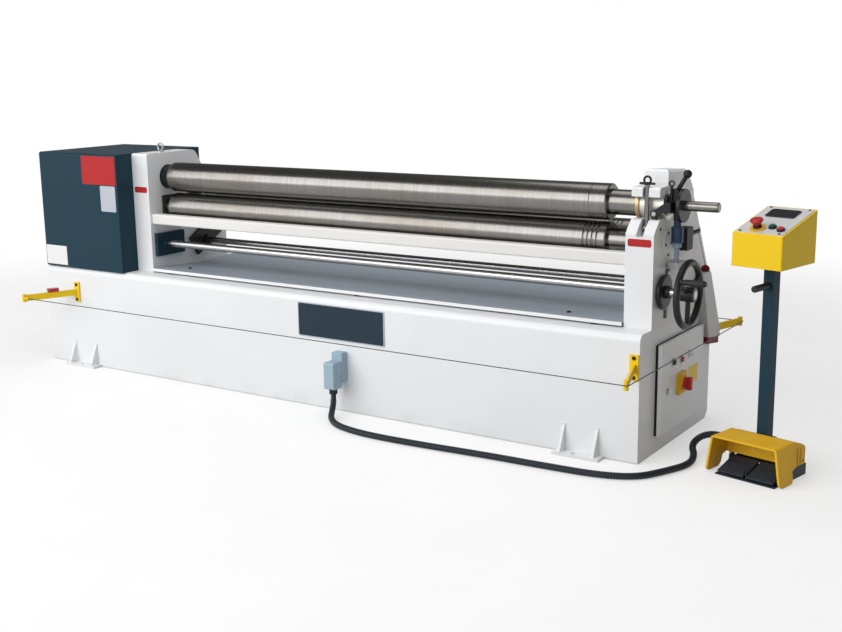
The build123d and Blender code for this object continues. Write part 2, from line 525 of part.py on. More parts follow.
# Bearing plates where the shafts enter the left upright, the rear one along the rear roll's slide
BEARING_PLATE, BOSS = 20.0, 10.0
with BuildPart() as shaft_brackets:
    plate_right = LEFT_IN + BEARING_PLATE
    block(LEFT_IN, plate_right, FRONT_SHAFT_Y - 68, FRONT_SHAFT_Y + 128,
          FRONT_SHAFT_Z - 62, FRONT_SHAFT_Z + 56)
    side_prism([along_slide(-204, -173), along_slide(-204, 60), along_slide(-95, 60), along_slide(-95, -173)],
               LEFT_IN, plate_right)
    for y, z, shaft_r in ((FRONT_SHAFT_Y, FRONT_SHAFT_Z, FRONT_SHAFT_R),
                          (BACK_SHAFT_Y, BACK_SHAFT_Z, BACK_SHAFT_R)):
        rod_x(plate_right, plate_right + BOSS, y, z, shaft_r + 14)
        rod_x(LEFT_IN, plate_right + BOSS, y, z, shaft_r + RUN_FIT, Mode.SUBTRACT)
save(shaft_brackets, "shaft_brackets")

DIAL_X, DIAL_R = RIGHT + 6, 72.0
with BuildPart() as dial_disc:
    turned([(DIAL_X, 0), (DIAL_X, DIAL_R - 4), (DIAL_X + 4, DIAL_R), (DIAL_X + 12, DIAL_R),
            (DIAL_X + 16, DIAL_R - 12), (DIAL_X + 16, 26), (DIAL_X + 34, 24), (DIAL_X + 34, 0)],
           FRONT_SHAFT_Y, FRONT_SHAFT_Z)
    rod_x(DIAL_X, DIAL_X + 34, FRONT_SHAFT_Y, FRONT_SHAFT_Z, FRONT_SHAFT_R, Mode.SUBTRACT)
save(dial_disc, "dial_disc")

RIM_MEAN = WHEEL_R - RIM_R
GRIP_Y = FRONT_SHAFT_Y + RIM_MEAN * cos(radians(GRIP_ANGLE))
GRIP_Z = FRONT_SHAFT_Z + RIM_MEAN * sin(radians(GRIP_ANGLE))
STUD_R, GRIP_START, GRIP_END = 6.0, WHEEL_X + 18, WHEEL_X + 108
HUB_LEFT, HUB_RIGHT = WHEEL_X - 26, WHEEL_X + 28
with BuildPart() as handwheel:
    with BuildSketch(Plane.XY.offset(FRONT_SHAFT_Z)) as rim:
        with Locations((WHEEL_X, FRONT_SHAFT_Y + RIM_MEAN)):
            RegularPolygon(RIM_R, 16)
    revolve(rim.sketch, axis=Axis((0, FRONT_SHAFT_Y, FRONT_SHAFT_Z), (1, 0, 0)))
    rod_x(HUB_LEFT, HUB_RIGHT, FRONT_SHAFT_Y, FRONT_SHAFT_Z, 30)
    for spoke in range(3):
        angle = radians(GRIP_ANGLE + 120 * spoke)
        bar((WHEEL_X, FRONT_SHAFT_Y, FRONT_SHAFT_Z),
            (WHEEL_X, FRONT_SHAFT_Y + RIM_MEAN * cos(angle), FRONT_SHAFT_Z + RIM_MEAN * sin(angle)), 10)
    rod_x(WHEEL_X, GRIP_END + 2, GRIP_Y, GRIP_Z, STUD_R)
    rod_x(WHEEL_X, GRIP_START - 1, GRIP_Y, GRIP_Z, 11)
    rod_x(GRIP_END + 1, GRIP_END + 4, GRIP_Y, GRIP_Z, 9)
    rod_x(HUB_LEFT, HUB_RIGHT, FRONT_SHAFT_Y, FRONT_SHAFT_Z, FRONT_SHAFT_R, Mode.SUBTRACT)
save(handwheel, "handwheel")

with BuildPart() as handwheel_grip:
    turned([(GRIP_START, 0), (GRIP_START, 10), (GRIP_START + 8, 12), (GRIP_START + 55, 14.5),
            (GRIP_END - 6, 13), (GRIP_END, 10), (GRIP_END, 0)], GRIP_Y, GRIP_Z)
    rod_x(GRIP_START, GRIP_END, GRIP_Y, GRIP_Z, STUD_R + RUN_FIT, Mode.SUBTRACT)
save(handwheel_grip, "handwheel_grip")

# Drop end: hinged cap over the bush, with a slotted tongue for the swing bolt
TONGUE_FRONT, TONGUE_LOW = -228.0, TONGUE_TOP - 38.0
CAP_FRONT, CAP_REAR = -148.0, 48.0
CAP_TOP, CAP_TOP_REAR, CAP_BOTTOM = TONGUE_TOP + 64.0, TONGUE_TOP + 52.0, RIGHT_TOP + OPEN_GAP
CAP_BODY_LEFT = CAP_LEFT + 18.0
CAP_PLAY = 0.8
BOLT_SLOT_HALF, BOLT_SLOT_BACK = 13.0, -195.0
with BuildPart() as bearing_cap:
    side_prism([(CAP_FRONT, TONGUE_LOW), (CAP_FRONT + 2, CAP_TOP - 8), (CAP_FRONT + 12, CAP_TOP),
                (CAP_REAR, CAP_TOP_REAR), (CAP_REAR + 14, CAP_TOP_REAR - 13), (HINGE_Y + 19, HINGE_Z + 11),
                (HINGE_Y + KNUCKLE_R, HINGE_Z), (HINGE_Y + 15.6, HINGE_Z - 15.6), (HINGE_Y, CAP_BOTTOM),
                (TOP_Y, CAP_BOTTOM), (TOP_Y, TONGUE_LOW)], CAP_BODY_LEFT, RIGHT_OUT)
    long_edges = bearing_cap.edges().filter_by(lambda edge: edge.length > 150)
    chamfer(long_edges.filter_by(lambda edge: edge.center().Z > CAP_TOP_REAR), 10)
    side_prism([(TONGUE_FRONT, TONGUE_LOW), (TONGUE_FRONT, TONGUE_TOP - 8), (TONGUE_FRONT + 8, TONGUE_TOP),
                (TOP_Y, TONGUE_TOP), (TOP_Y, TONGUE_LOW)], CAP_LEFT, RIGHT_OUT)
    rod_x(CAP_LEFT, RIGHT_OUT, TOP_Y, TOP_Z, BUSH_R + CAP_PLAY, Mode.SUBTRACT)
    rod_x(CAP_LEFT, FLANGE_RIGHT + 1, TOP_Y, TOP_Z, FLANGE_R + CAP_PLAY, Mode.SUBTRACT)
    block(BOLT_AXIS_X - BOLT_SLOT_HALF, BOLT_AXIS_X + BOLT_SLOT_HALF, TONGUE_FRONT - 1, BOLT_SLOT_BACK,
          TONGUE_LOW - 1, TONGUE_TOP + 1, Mode.SUBTRACT)
    for x0, x1 in ((CAP_LEFT - 1, RIGHT_IN + EAR + OPEN_GAP), (RIGHT_OUT - EAR - OPEN_GAP, RIGHT_OUT + 1)):
        rod_x(x0, x1, HINGE_Y, HINGE_Z, KNUCKLE_R + OPEN_GAP, Mode.SUBTRACT)
        block(x0, x1, HINGE_Y - KNUCKLE_R - OPEN_GAP, HINGE_Y + KNUCKLE_R + OPEN_GAP, CAP_BOTTOM - 1, HINGE_Z,
              Mode.SUBTRACT)
    rod_x(CAP_LEFT, RIGHT_OUT, HINGE_Y, HINGE_Z, HINGE_R + RUN_FIT, Mode.SUBTRACT)
save(bearing_cap, "bearing_cap")

# Swing bolt, its clamp nut, and the pins of the drop end and of the pedals
with BuildPart() as swing_bolt:
    rod_x(BOLT_AXIS_X - 13, BOLT_AXIS_X + 13, SWING_Y, SWING_Z, 16)
    rod_z(BOLT_AXIS_X, SWING_Y, SWING_Z, ROD_TOP, SWING_R)
    chamfer(swing_bolt.faces().sort_by(Axis.Z)[-1].edges(), 1.5)
    rod_x(BOLT_AXIS_X - 13, BOLT_AXIS_X + 13, SWING_Y, SWING_Z, SWING_PIN_R + RUN_FIT, Mode.SUBTRACT)
save(swing_bolt, "swing_bolt")

NUT_TOP, NUT_R = NUT_BOTTOM + 10, 15.0
RING_R, RING_WIRE_R, RING_Z = 14.0, 4.5, NUT_BOTTOM + 18.5
with BuildPart() as clamp_nut:
    rod_z(BOLT_AXIS_X, SWING_Y, NUT_BOTTOM, NUT_TOP, NUT_R)
    rod_x(BOLT_AXIS_X - 32, BOLT_AXIS_X + 32, SWING_Y, NUT_BOTTOM + 5, 5)
    with Locations((BOLT_AXIS_X, SWING_Y, RING_Z)):
        Torus(RING_R, RING_WIRE_R, rotation=(90, 0, 0))
    rod_z(BOLT_AXIS_X, SWING_Y, NUT_BOTTOM - 3, NUT_TOP + 4, SWING_R + RUN_FIT, Mode.SUBTRACT)
save(clamp_nut, "clamp_nut")

PEDAL_PIN_V, PEDAL_PIN_Z, PEDAL_PIN_R = 112.0, 44.0, 5.0
with BuildPart() as pivot_pins:
    rod_x(RIGHT_IN, RIGHT_OUT, HINGE_Y, HINGE_Z, HINGE_R)
    rod_x(RIGHT_IN, RIGHT_OUT, SWING_Y, SWING_Z, SWING_PIN_R)
    pin_start = CONSOLE.from_local_coords(Vector(-PEDAL_HALF, PEDAL_PIN_V, PEDAL_PIN_Z))
    pin_end = CONSOLE.from_local_coords(Vector(PEDAL_HALF, PEDAL_PIN_V, PEDAL_PIN_Z))
    bar(tuple(pin_start), tuple(pin_end), PEDAL_PIN_R)
save(pivot_pins, "pivot_pins")

# Tail yoke on the end of the upright, with the release lever and the lift cylinder
HUB_R, DISC_R, DISC = 34.0, 67.0, 13.0
YOKE_X0, YOKE_X1 = RIGHT + 7.0, RIGHT + 55.0
LEVER_X, LEVER_Z = RIGHT + 32.0, TOP_Z + 54.0
LEVER_HALF, LEVER_PIN_R = 13.0, 5.0
CYL_X, CYL_TOP = RIGHT + 38.0, TOP_Z - 60.0
ARM_FRONT, ARM_BACK = -212.0, -197.0
ARM_X0, ARM_X1, ARM_X2 = RIGHT - 31.0, RIGHT + 10.0, RIGHT + 37.0
ARM_EYE_Z = NOSE_TOP + 23.0
PLUNGER_X, PLUNGER_Y, PLUNGER_TOP = RIGHT + 20.0, TOP_Y - 27.0, TOP_Z + 78.0
with BuildPart() as tail_yoke:
    rod_x(YOKE_X0, YOKE_X1 + 2, TOP_Y, TOP_Z, HUB_R)
    rod_x(YOKE_X1, YOKE_X1 + DISC, TOP_Y, TOP_Z, DISC_R)
    front_prism([(ARM_X0, ARM_EYE_Z - 12), (ARM_X0, ARM_EYE_Z + 12), (ARM_X1 + 5, TOP_Z + 18),
                 (ARM_X2, TOP_Z + 18), (ARM_X2, TOP_Z - 22), (ARM_X1, TOP_Z - 22)], ARM_FRONT, ARM_BACK)
    rod_y(ARM_X0, ARM_FRONT, ARM_BACK, ARM_EYE_Z, 16)
    block(ARM_X0 - 8, ARM_X0 + 10, ARM_FRONT, ARM_BACK, NOSE_TOP, ARM_EYE_Z)
    rod_y(ARM_X0, ARM_FRONT - 3, ARM_FRONT, ARM_EYE_Z, 9)
    block(ARM_X1, ARM_X2, ARM_BACK - 5, TOP_Y, TOP_Z - 20, TOP_Z + 16)
    for cheek in (-1, 1):
        y0, y1 = sorted((TOP_Y + cheek * (LEVER_HALF + 1), TOP_Y + cheek * (LEVER_HALF + 11)))
        block(LEVER_X - 13, LEVER_X + 13, y0, y1, TOP_Z + 10, LEVER_Z + 2)
        rod_y(LEVER_X, y0, y1, LEVER_Z + 2, 13)
    rod_y(LEVER_X, TOP_Y - LEVER_HALF - 2, TOP_Y + LEVER_HALF + 2, LEVER_Z, LEVER_PIN_R)
    rod_z(PLUNGER_X, PLUNGER_Y, TOP_Z, PLUNGER_TOP, 6)
    with Locations((PLUNGER_X, PLUNGER_Y, PLUNGER_TOP + 10)):
        Torus(10, 3, rotation=(90, 0, 0))
    block(CYL_X - 13, CYL_X + 13, TOP_Y - 13, TOP_Y + 13, CYL_TOP, TOP_Z - 25)
    rod_x(YOKE_X0, YOKE_X1 + DISC, TOP_Y, TOP_Z, TAIL_R + 0.6, Mode.SUBTRACT)
save(tail_yoke, "tail_yoke")

KNOB_X, KNOB_Z = LEVER_X + 42.0, LEVER_Z + 71.0
with BuildPart() as release_lever:
    rod_y(LEVER_X, TOP_Y - LEVER_HALF, TOP_Y + LEVER_HALF, LEVER_Z, 12)
    bar((LEVER_X, TOP_Y, LEVER_Z), (KNOB_X, TOP_Y, KNOB_Z), 9)
    with Locations((KNOB_X, TOP_Y, KNOB_Z)):
        Sphere(17)
    rod_y(LEVER_X, TOP_Y - LEVER_HALF, TOP_Y + LEVER_HALF, LEVER_Z, LEVER_PIN_R + RUN_FIT, Mode.SUBTRACT)
save(release_lever, "release_lever")

LUG_Z0, LUG_Z1 = CYL_TOP - 196.0, CYL_TOP - 170.0
with BuildPart() as lift_cylinder:
    rod_z(CYL_X, TOP_Y, CYL_TOP - 25, CYL_TOP, 15)
    rod_z(CYL_X, TOP_Y, CYL_TOP - 90, CYL_TOP - 25, 24)
    fillet(lift_cylinder.edges().filter_by(GeomType.CIRCLE).group_by(Axis.Z)[0], 5)
    rod_z(CYL_X, TOP_Y, CYL_TOP - 108, CYL_TOP - 88, 18)
    rod_z(CYL_X, TOP_Y, LUG_Z1 - 5, CYL_TOP - 105, 10)
    block(RIGHT + 6, CYL_X + 16, TOP_Y - 13, TOP_Y + 73, LUG_Z0, LUG_Z1)
    block(RIGHT, RIGHT + 8, TOP_Y + 37, TOP_Y + 73, LUG_Z0, LUG_Z1)
save(lift_cylinder, "lift_cylinder")

# Limit switch with its lanyard, and the rope switch on the front left arm
LANYARD_X = RIGHT + 21.0
LANYARD_TOP, LANYARD_FOOT = (LANYARD_X, 155.0, 861.0), (LANYARD_X, REAR - 140.0, 708.0)
ARM_TOP = WIRE_Z + 16
ROPE_SWITCH_X, ROPE_SWITCH_Y = LEFT + 173.0, FRONT - 117.0
with BuildPart() as safety_switches:
    block(RIGHT, RIGHT + 35, -15, 50, 810, 905)
    fillet(safety_switches.edges().filter_by(Axis.X), 8)
    rod_y(LANYARD_X, 45, 146, 872, 9)
    with Locations((LANYARD_X, 155, 872)):
        Torus(11, 3.5, rotation=(0, 90, 0))
    bar(LANYARD_TOP, LANYARD_FOOT, 3)
    with Locations(Location((ROPE_SWITCH_X, ROPE_SWITCH_Y, ARM_TOP + 9), (0, 0, -24))):
        Box(30, 56, 18)
save(safety_switches, "safety_switches")

# Grey rear post on the end face, with a red ball pin on top and a red reflector below
POST_X1 = RIGHT + 40
POST_HEAD = 686.0
POST_Y0, POST_Y1 = REAR - 218.0, REAR - 126.0
with BuildPart() as rear_post:
    side_prism([(POST_Y0, POST_HEAD), (POST_Y1, POST_HEAD), (REAR + 12, 412), (REAR + 16, 372),
                (REAR - 120, 392)], RIGHT, POST_X1)
    fillet(edges_along_x(rear_post, (POST_Y0, POST_HEAD), (POST_Y1, POST_HEAD)), 12)
save(rear_post, "rear_post")

with BuildPart() as red_fittings:
    with Locations((LANYARD_X, REAR - 143, POST_HEAD + 8)):
        Sphere(19)
    block(LANYARD_X - 30, LANYARD_X + 30, REAR - 173, REAR - 113, POST_HEAD - 30, POST_HEAD, Mode.SUBTRACT)
    bar(LANYARD_TOP, LANYARD_FOOT, 3, Mode.SUBTRACT)
    side_prism([(REAR - 120, 392), (REAR + 16, 372), (REAR + 16, 342), (REAR - 120, 362)], RIGHT, POST_X1 - 6)
save(red_fittings, "red_fittings")

# Bearing cover with its screws, the wear window and the pointer, on the right upright
with BuildPart() as frame_plates:
    with BuildSketch(Plane.YZ.offset(RIGHT)):
        with Locations((-138, LOW_Z)):
            SlotOverall(120, 80, rotation=90)
    extrude(amount=4)
    for y, z in ((-138, LOW_Z + 44), (-138, LOW_Z - 44), (-110, LOW_Z), (-166, LOW_Z)):
        rod_x(RIGHT + 4, RIGHT + 7, y, z, 6)
    side_prism([(-150, 728), (-150, 748), (-104, 768), (-104, 748)], RIGHT, RIGHT + 3)
    block(RIGHT, RIGHT + 4, -156, -132, 552, 592)
save(frame_plates, "frame_plates")

# Trip wire on four arms: rollers at the right, ferrules at the left
ARM_BAR, ARM_Z0, ARM_Z1 = 10.0, WIRE_Z - 16, ARM_TOP
ARM_PLATE = 8.0
ARM_PLATE_Z0, ARM_PLATE_Z1 = WIRE_Z - 51.0, WIRE_Z + 54.0
ROLLER_OFFSET = ROLLER_R + WIRE_R + SLIDE_GAP
ARM_RIGHT_X, ARM_LEFT_X = RIGHT - 21.0, LEFT + 231.0
with BuildPart() as trip_arms:
    for side in (-1, 1):
        root_y = side * (REAR + ARM_PLATE)
        y0, y1 = sorted((side * REAR, root_y))
        right_tip = (WIRE_X_RIGHT - ROLLER_OFFSET, side * (WIRE_Y - ROLLER_OFFSET))
        left_tip = (WIRE_X_LEFT, side * WIRE_Y)
        for root_x, (tip_x, tip_y) in ((ARM_RIGHT_X, right_tip), (ARM_LEFT_X, left_tip)):
            block(root_x - 19, root_x + 19, y0, y1, ARM_PLATE_Z0, ARM_PLATE_Z1)
            run = Vector(tip_x - root_x, tip_y - root_y)
            across = run.normalized().rotate(Axis.Z, 90) * (ARM_BAR / 2)
            root, tip = Vector(root_x, root_y - side * 4), Vector(tip_x, tip_y)
            corners = [root + across, tip + across, tip - across, root - across]
            top_prism([(c.X, c.Y) for c in corners], ARM_Z0, ARM_Z1)
            rod_z(tip_x, tip_y, ARM_Z0 - 4, ARM_Z1 + 4, ROLLER_R)
        rod_x(WIRE_X_LEFT, WIRE_X_LEFT + 34, side * WIRE_Y, WIRE_Z, 6)
save(trip_arms, "trip_arms")

with BuildPart() as trip_wire:
    with BuildLine() as wire_path:
        FilletPolyline((WIRE_X_LEFT + 34, -WIRE_Y, WIRE_Z), (WIRE_X_RIGHT, -WIRE_Y, WIRE_Z),
                       (WIRE_X_RIGHT, WIRE_Y, WIRE_Z), (WIRE_X_LEFT + 34, WIRE_Y, WIRE_Z),
                       radius=ROLLER_OFFSET)
    with BuildSketch(Plane(origin=wire_path.line @ 0, z_dir=wire_path.line % 0)):
        Circle(WIRE_R)
    sweep(path=wire_path.line)
save(trip_wire, "trip_wire")

# Dome screws of the tray, bolts of the arms and the lifting eye
EYE_X, EYE_Y = LEFT_OUT + 64.0, -133.0
with BuildPart() as fixed_screws:
    for x, y in ((LEFT_IN + 158, -174), (RIGHT_IN - 283, -198)):
        lip_run = (TRAY_FOLD_Y - TRAY_LIP_Y)
        z = TRAY_LIP_TOP - (y - TRAY_LIP_Y) * (TRAY_LIP_TOP - BED_TOP - TRAY_SHEET) / lip_run
        rod_z(x, y, z + 0.6, z + 6, 10)
    for x in (ARM_RIGHT_X, ARM_LEFT_X):
        for side in (-1, 1):
            y0, y1 = sorted((side * (REAR + ARM_PLATE), side * (REAR + ARM_PLATE + 6)))
            for z in (ARM_PLATE_Z0 + 13, ARM_PLATE_Z1 - 13):
                rod_y(x, y0, y1, z, 8)
    rod_z(EYE_X, EYE_Y, LEFT_TOP, LEFT_TOP + 10, 17)
    with Locations((EYE_X, EYE_Y, LEFT_TOP + 26)):
        Torus(17, 5, rotation=(90, 0, 0))
save(fixed_screws, "fixed_screws")

# End cabinet: mounting plate with switchgear, gasket, door and what sits on the door
DOOR_Y0, DOOR_Y1 = RECESS[2] - DOOR_RIM, RECESS[3] + DOOR_RIM
DOOR_Z0, DOOR_Z1 = RECESS[4] - DOOR_RIM, RECESS[5] + DOOR_RIM
BLACK_BUTTON, RED_BUTTON, LAMP = (-102.0, 362.0), (-11.0, 355.0), (81.0, 362.0)
SWITCH_Y, SWITCH_Z = -18.0, 257.0
LOCK_Y, LOCK_Z = -153.0, 249.0
BUTTON_R, LOCK_R = 12.0, 8.0
PLATE_BACK = RECESS[0] + 10
with BuildPart() as cabinet_panel:
    block(PLATE_BACK, PLATE_BACK + 3, -200, 212, 100, 430)
    for y in (-185, 197):
        for z in (115, 415):
            rod_x(RECESS[0], PLATE_BACK, y, z, 6)
    for z in (170, 330):
        block(PLATE_BACK + 3, PLATE_BACK + 11, -180, 190, z - 17, z + 17)
        for slot in range(5):
            y = -170 + 72 * slot
            block(PLATE_BACK + 11, PLATE_BACK + 90, y, y + 54, z - 42, z + 42)
save(cabinet_panel, "cabinet_panel")

with BuildPart() as door_gasket:
    block(RIGHT, DOOR_BACK, DOOR_Y0 + 1, DOOR_Y1 - 1, DOOR_Z0 + 1, DOOR_Z1 - 1)
    block(RIGHT, DOOR_BACK, *RECESS[2:], Mode.SUBTRACT)
save(door_gasket, "door_gasket")

with BuildPart() as cabinet_door:
    block(DOOR_BACK, DOOR_FACE, DOOR_Y0, DOOR_Y1, DOOR_Z0, DOOR_Z1)
    fillet(cabinet_door.faces().sort_by(Axis.X)[-1].edges(), 3)
    block(DOOR_BACK, DOOR_FACE - DOOR_SHEET, *RECESS[2:], Mode.SUBTRACT)
    for y, z in (BLACK_BUTTON, RED_BUTTON):
        rod_x(DOOR_BACK, DOOR_FACE, y, z, BUTTON_R + SLIDE_GAP, Mode.SUBTRACT)
    rod_x(DOOR_BACK, DOOR_FACE, LOCK_Y, LOCK_Z, LOCK_R + RUN_FIT, Mode.SUBTRACT)
    rod_x(DOOR_BACK, DOOR_FACE, SWITCH_Y, SWITCH_Z, 8, Mode.SUBTRACT)
save(cabinet_door, "cabinet_door")

SWITCH_FACE = DOOR_FACE + 20
with BuildPart() as door_fittings:
    block(DOOR_FACE, DOOR_FACE + 12, SWITCH_Y - 45, SWITCH_Y + 45, SWITCH_Z - 45, SWITCH_Z + 45)
    fillet(door_fittings.edges().filter_by(Axis.X), 8)
    rod_x(DOOR_FACE + 12, SWITCH_FACE, SWITCH_Y, SWITCH_Z, 30)
    rod_x(DOOR_FACE, SWITCH_FACE, SWITCH_Y, SWITCH_Z, 8, Mode.SUBTRACT)
    for y, z in (BLACK_BUTTON, RED_BUTTON):
        rod_x(DOOR_FACE, DOOR_FACE + 6, y, z, 18)
        rod_x(DOOR_FACE, DOOR_FACE + 6, y, z, BUTTON_R + SLIDE_GAP, Mode.SUBTRACT)
    turned([(DOOR_FACE, 0), (DOOR_FACE, 18), (DOOR_FACE + 6, 18), (DOOR_FACE + 6, 13), (DOOR_FACE + 14, 12),
            (DOOR_FACE + 18, 6), (DOOR_FACE + 18, 0)], *LAMP)
save(door_fittings, "door_fittings")

with BuildPart() as main_switch_handle:
    rod_x(DOOR_FACE - 8, SWITCH_FACE + 4, SWITCH_Y, SWITCH_Z, 8 - RUN_FIT)
    rod_x(SWITCH_FACE + SLIDE_GAP, SWITCH_FACE + 12, SWITCH_Y, SWITCH_Z, 26)
    block(SWITCH_FACE + 10, SWITCH_FACE + 32, SWITCH_Y - 9, SWITCH_Y + 9, SWITCH_Z - 27, SWITCH_Z + 27)
    fillet(main_switch_handle.faces().sort_by(Axis.X)[-1].edges(), 4)
save(main_switch_handle, "main_switch_handle")

with BuildPart() as door_button_black:
    rod_x(DOOR_FACE - 5, DOOR_FACE + 11, *BLACK_BUTTON, BUTTON_R)
    chamfer(door_button_black.faces().sort_by(Axis.X)[-1].edges(), 1.5)
save(door_button_black, "door_button_black")

with BuildPart() as door_button_red:
    rod_x(DOOR_FACE - 5, DOOR_FACE + 11, *RED_BUTTON, BUTTON_R)
    chamfer(door_button_red.faces().sort_by(Axis.X)[-1].edges(), 1.5)
save(door_button_red, "door_button_red")

# Quarter-turn lock with its cam behind the door sheet
with BuildPart() as door_lock:
    rod_x(DOOR_FACE - 15, DOOR_FACE + 2, LOCK_Y, LOCK_Z, LOCK_R)
    rod_x(DOOR_FACE + SLIDE_GAP, DOOR_FACE + 8, LOCK_Y, LOCK_Z, 13)
    block(DOOR_FACE + 5, DOOR_FACE + 9, LOCK_Y - 2, LOCK_Y + 2, LOCK_Z - 9, LOCK_Z + 9, Mode.SUBTRACT)
    block(DOOR_FACE - 15, DOOR_FACE - 11, LOCK_Y - 9, LOCK_Y + 9, LOCK_Z - 10, LOCK_Z + 42)
save(door_lock, "door_lock")

# Plug for the console: base on the bed and a hood with its gland
HOOD_FRONT = FRONT - 106.0
with BuildPart() as connector_base:
    block(PLUG_X - 29, PLUG_X + 29, FRONT - 42, FRONT, 154, 289)
    fillet(connector_base.edges().filter_by(Axis.Y), 5)
save(connector_base, "connector_base")

with BuildPart() as connector_hood:
    block(PLUG_X - 27, PLUG_X + 27, HOOD_FRONT, FRONT - 42, 128, 252)
    fillet(connector_hood.edges().filter_by(Axis.X), 9)
    rod_z(PLUG_X, GLAND_Y, GLAND_Z, 130, 19)
    for side in (-1, 1):
        x0, x1 = sorted((PLUG_X + side * 27, PLUG_X + side * 31))
        block(x0, x1, FRONT - 78, FRONT - 48, 190, 206)
save(connector_hood, "connector_hood")

# Corrugated conduit: straight runs and tangent arcs, with ribs as a ruled loft over a smooth bore
RIB_AXIS = (-1, 1, -1)


def corner_radii(points):
    """The largest arc that the two runs of each corner allow."""
    radii = []
    for before, here, after in zip(points, points[1:], points[2:]):
        run_in, run_out = Vector(*here) - Vector(*before), Vector(*after) - Vector(*here)
        half_turn = radians(run_in.get_angle(run_out)) / 2
        radii.append(0.45 * min(run_in.length, run_out.length) / tan(half_turn))
    return radii


def ring(path, distance, radius):
    """A circle square to the path at a distance from its start."""
    place = distance / path.length
    with BuildSketch(Plane(origin=path @ place, x_dir=RIB_AXIS, z_dir=path % place)) as section:
        Circle(radius)
    return section.sketch.face()


with BuildLine() as conduit_path:
    FilletPolyline(*CONDUIT_ROUTE, radius=corner_radii(CONDUIT_ROUTE))
conduit = conduit_path.wire()
straight_end = 2 * CONDUIT_R
pitch = (conduit.length - 2 * straight_end) / RIBS
rings = [ring(conduit, 0, CONDUIT_ROOT_R)]
for rib in range(RIBS):
    start = straight_end + rib * pitch
    for share, radius in ((0.1, CONDUIT_ROOT_R), (0.3, CONDUIT_R), (0.7, CONDUIT_R), (0.9, CONDUIT_ROOT_R)):
        rings.append(ring(conduit, start + share * pitch, radius))
rings.append(ring(conduit, conduit.length, CONDUIT_ROOT_R))
with BuildPart() as control_conduit:
    loft(rings, ruled=True)
    sweep(ring(conduit, 0, CONDUIT_BORE_R), path=conduit, mode=Mode.SUBTRACT)
save(control_conduit, "control_conduit")
print("conduit length", round(conduit.length), "radii", [round(r) for r in corner_radii(CONDUIT_ROUTE)])

# Foot switch: base, hooded guard and two pedals on one pin, all in the console's own u and v
DIVIDER_HALF = 2.5
CHEEK = 8.0
PEDAL_PLATE = 5.0
EDGE_V, EDGE_LOW, EDGE_TOP = 2.0, 13.0, 19.0
with BuildPart() as pedal_base:
    block(-PEDAL_HALF, PEDAL_HALF, 0, PEDAL_DEPTH, 0, PEDAL_PLATE)
    block(-PEDAL_HALF, PEDAL_HALF, PEDAL_PIN_V + 16, PEDAL_DEPTH, 0, PEDAL_BASE_Z)
    side_prism([(12, 0), (12, EDGE_TOP + 6), (PEDAL_PIN_V - 12, PEDAL_PIN_Z + 13), (PEDAL_PIN_V - 12, 0)],
               -DIVIDER_HALF, DIVIDER_HALF)
    for u0 in (-PEDAL_HALF, PEDAL_HALF - CHEEK):
        block(u0, u0 + CHEEK, PEDAL_PIN_V - 14, PEDAL_PIN_V + 17, 0, PEDAL_PIN_Z + 12)
    rod_x(-PEDAL_HALF, PEDAL_HALF, PEDAL_PIN_V, PEDAL_PIN_Z, PEDAL_PIN_R, Mode.SUBTRACT)
save(pedal_base, "pedal_base", CONSOLE)

HOOD_FOOT = 3.0
HOOD_LEAN = (HOOD_HALF_FOOT - HOOD_HALF_TOP) / (HOOD_TOP - HOOD_FOOT)
SIDE_DEPTH, SIDE_RADIUS = 100.0, 22.0


def hood_outline(half_top, top, foot):
    """The (u, z) outline of the hood, wider at the foot."""
    half_foot = half_top + HOOD_LEAN * (top - foot)
    left_foot, right_foot = HOOD_U - half_foot, HOOD_U + half_foot
    return [(left_foot, foot), (HOOD_U - half_top, top), (HOOD_U + half_top, top), (right_foot, foot)]


with BuildPart() as pedal_guard:
    front_prism(hood_outline(HOOD_HALF_TOP, HOOD_TOP, HOOD_FOOT), 0, HOOD_DEPTH)
    fillet(pedal_guard.faces().sort_by(Axis.Z)[-1].edges().filter_by(Axis.Y), 14)
    front_prism(hood_outline(HOOD_HALF_TOP - GUARD_SHEET, HOOD_TOP - GUARD_SHEET, 0), -1,
                HOOD_DEPTH - GUARD_SHEET, Mode.SUBTRACT)
    side_prism([(SIDE_DEPTH, 0), (SIDE_DEPTH, PEDAL_BASE_Z + 4), (HOOD_DEPTH + 1, PEDAL_BASE_Z + 16),
                (HOOD_DEPTH + 1, 0)], HOOD_U - HOOD_HALF_FOOT - 1, HOOD_U + HOOD_HALF_FOOT + 1, Mode.SUBTRACT)
    fillet(edges_along_x(pedal_guard, (0, HOOD_FOOT), (SIDE_DEPTH, HOOD_FOOT)), SIDE_RADIUS)
    side_prism([(HOOD_DEPTH, PEDAL_BASE_Z), (HOOD_DEPTH, HOOD_TOP - 3), (198, 132), (226, 116),
                (PEDAL_DEPTH, HOUSING_BACK_Z), (PEDAL_DEPTH, PEDAL_BASE_Z)],
               HOOD_U - HOUSING_HALF, HOOD_U + HOUSING_HALF)
    fillet(pedal_guard.faces().sort_by(Axis.Y)[-1].edges().filter_by(Axis.Z), 10)
    block(HOOD_U - HOUSING_HALF + GUARD_SHEET, HOOD_U + HOUSING_HALF - GUARD_SHEET, HOOD_DEPTH,
          PEDAL_DEPTH - GUARD_SHEET, PEDAL_BASE_Z, HOUSING_BACK_Z - GUARD_SHEET, Mode.SUBTRACT)
    block(POST_U - FOOT_HALF, POST_U + FOOT_HALF, POST_V - FOOT_HALF, POST_V + FOOT_HALF, POST_SEAT, HOOD_TOP,
          Mode.SUBTRACT)
    for v in (144, 168, 192):
        block(HOOD_U + HOUSING_HALF - 1, HOOD_U + HOUSING_HALF + 4, v, v + 12, PEDAL_BASE_Z + 6, 118)
save(pedal_guard, "pedal_guard", CONSOLE)


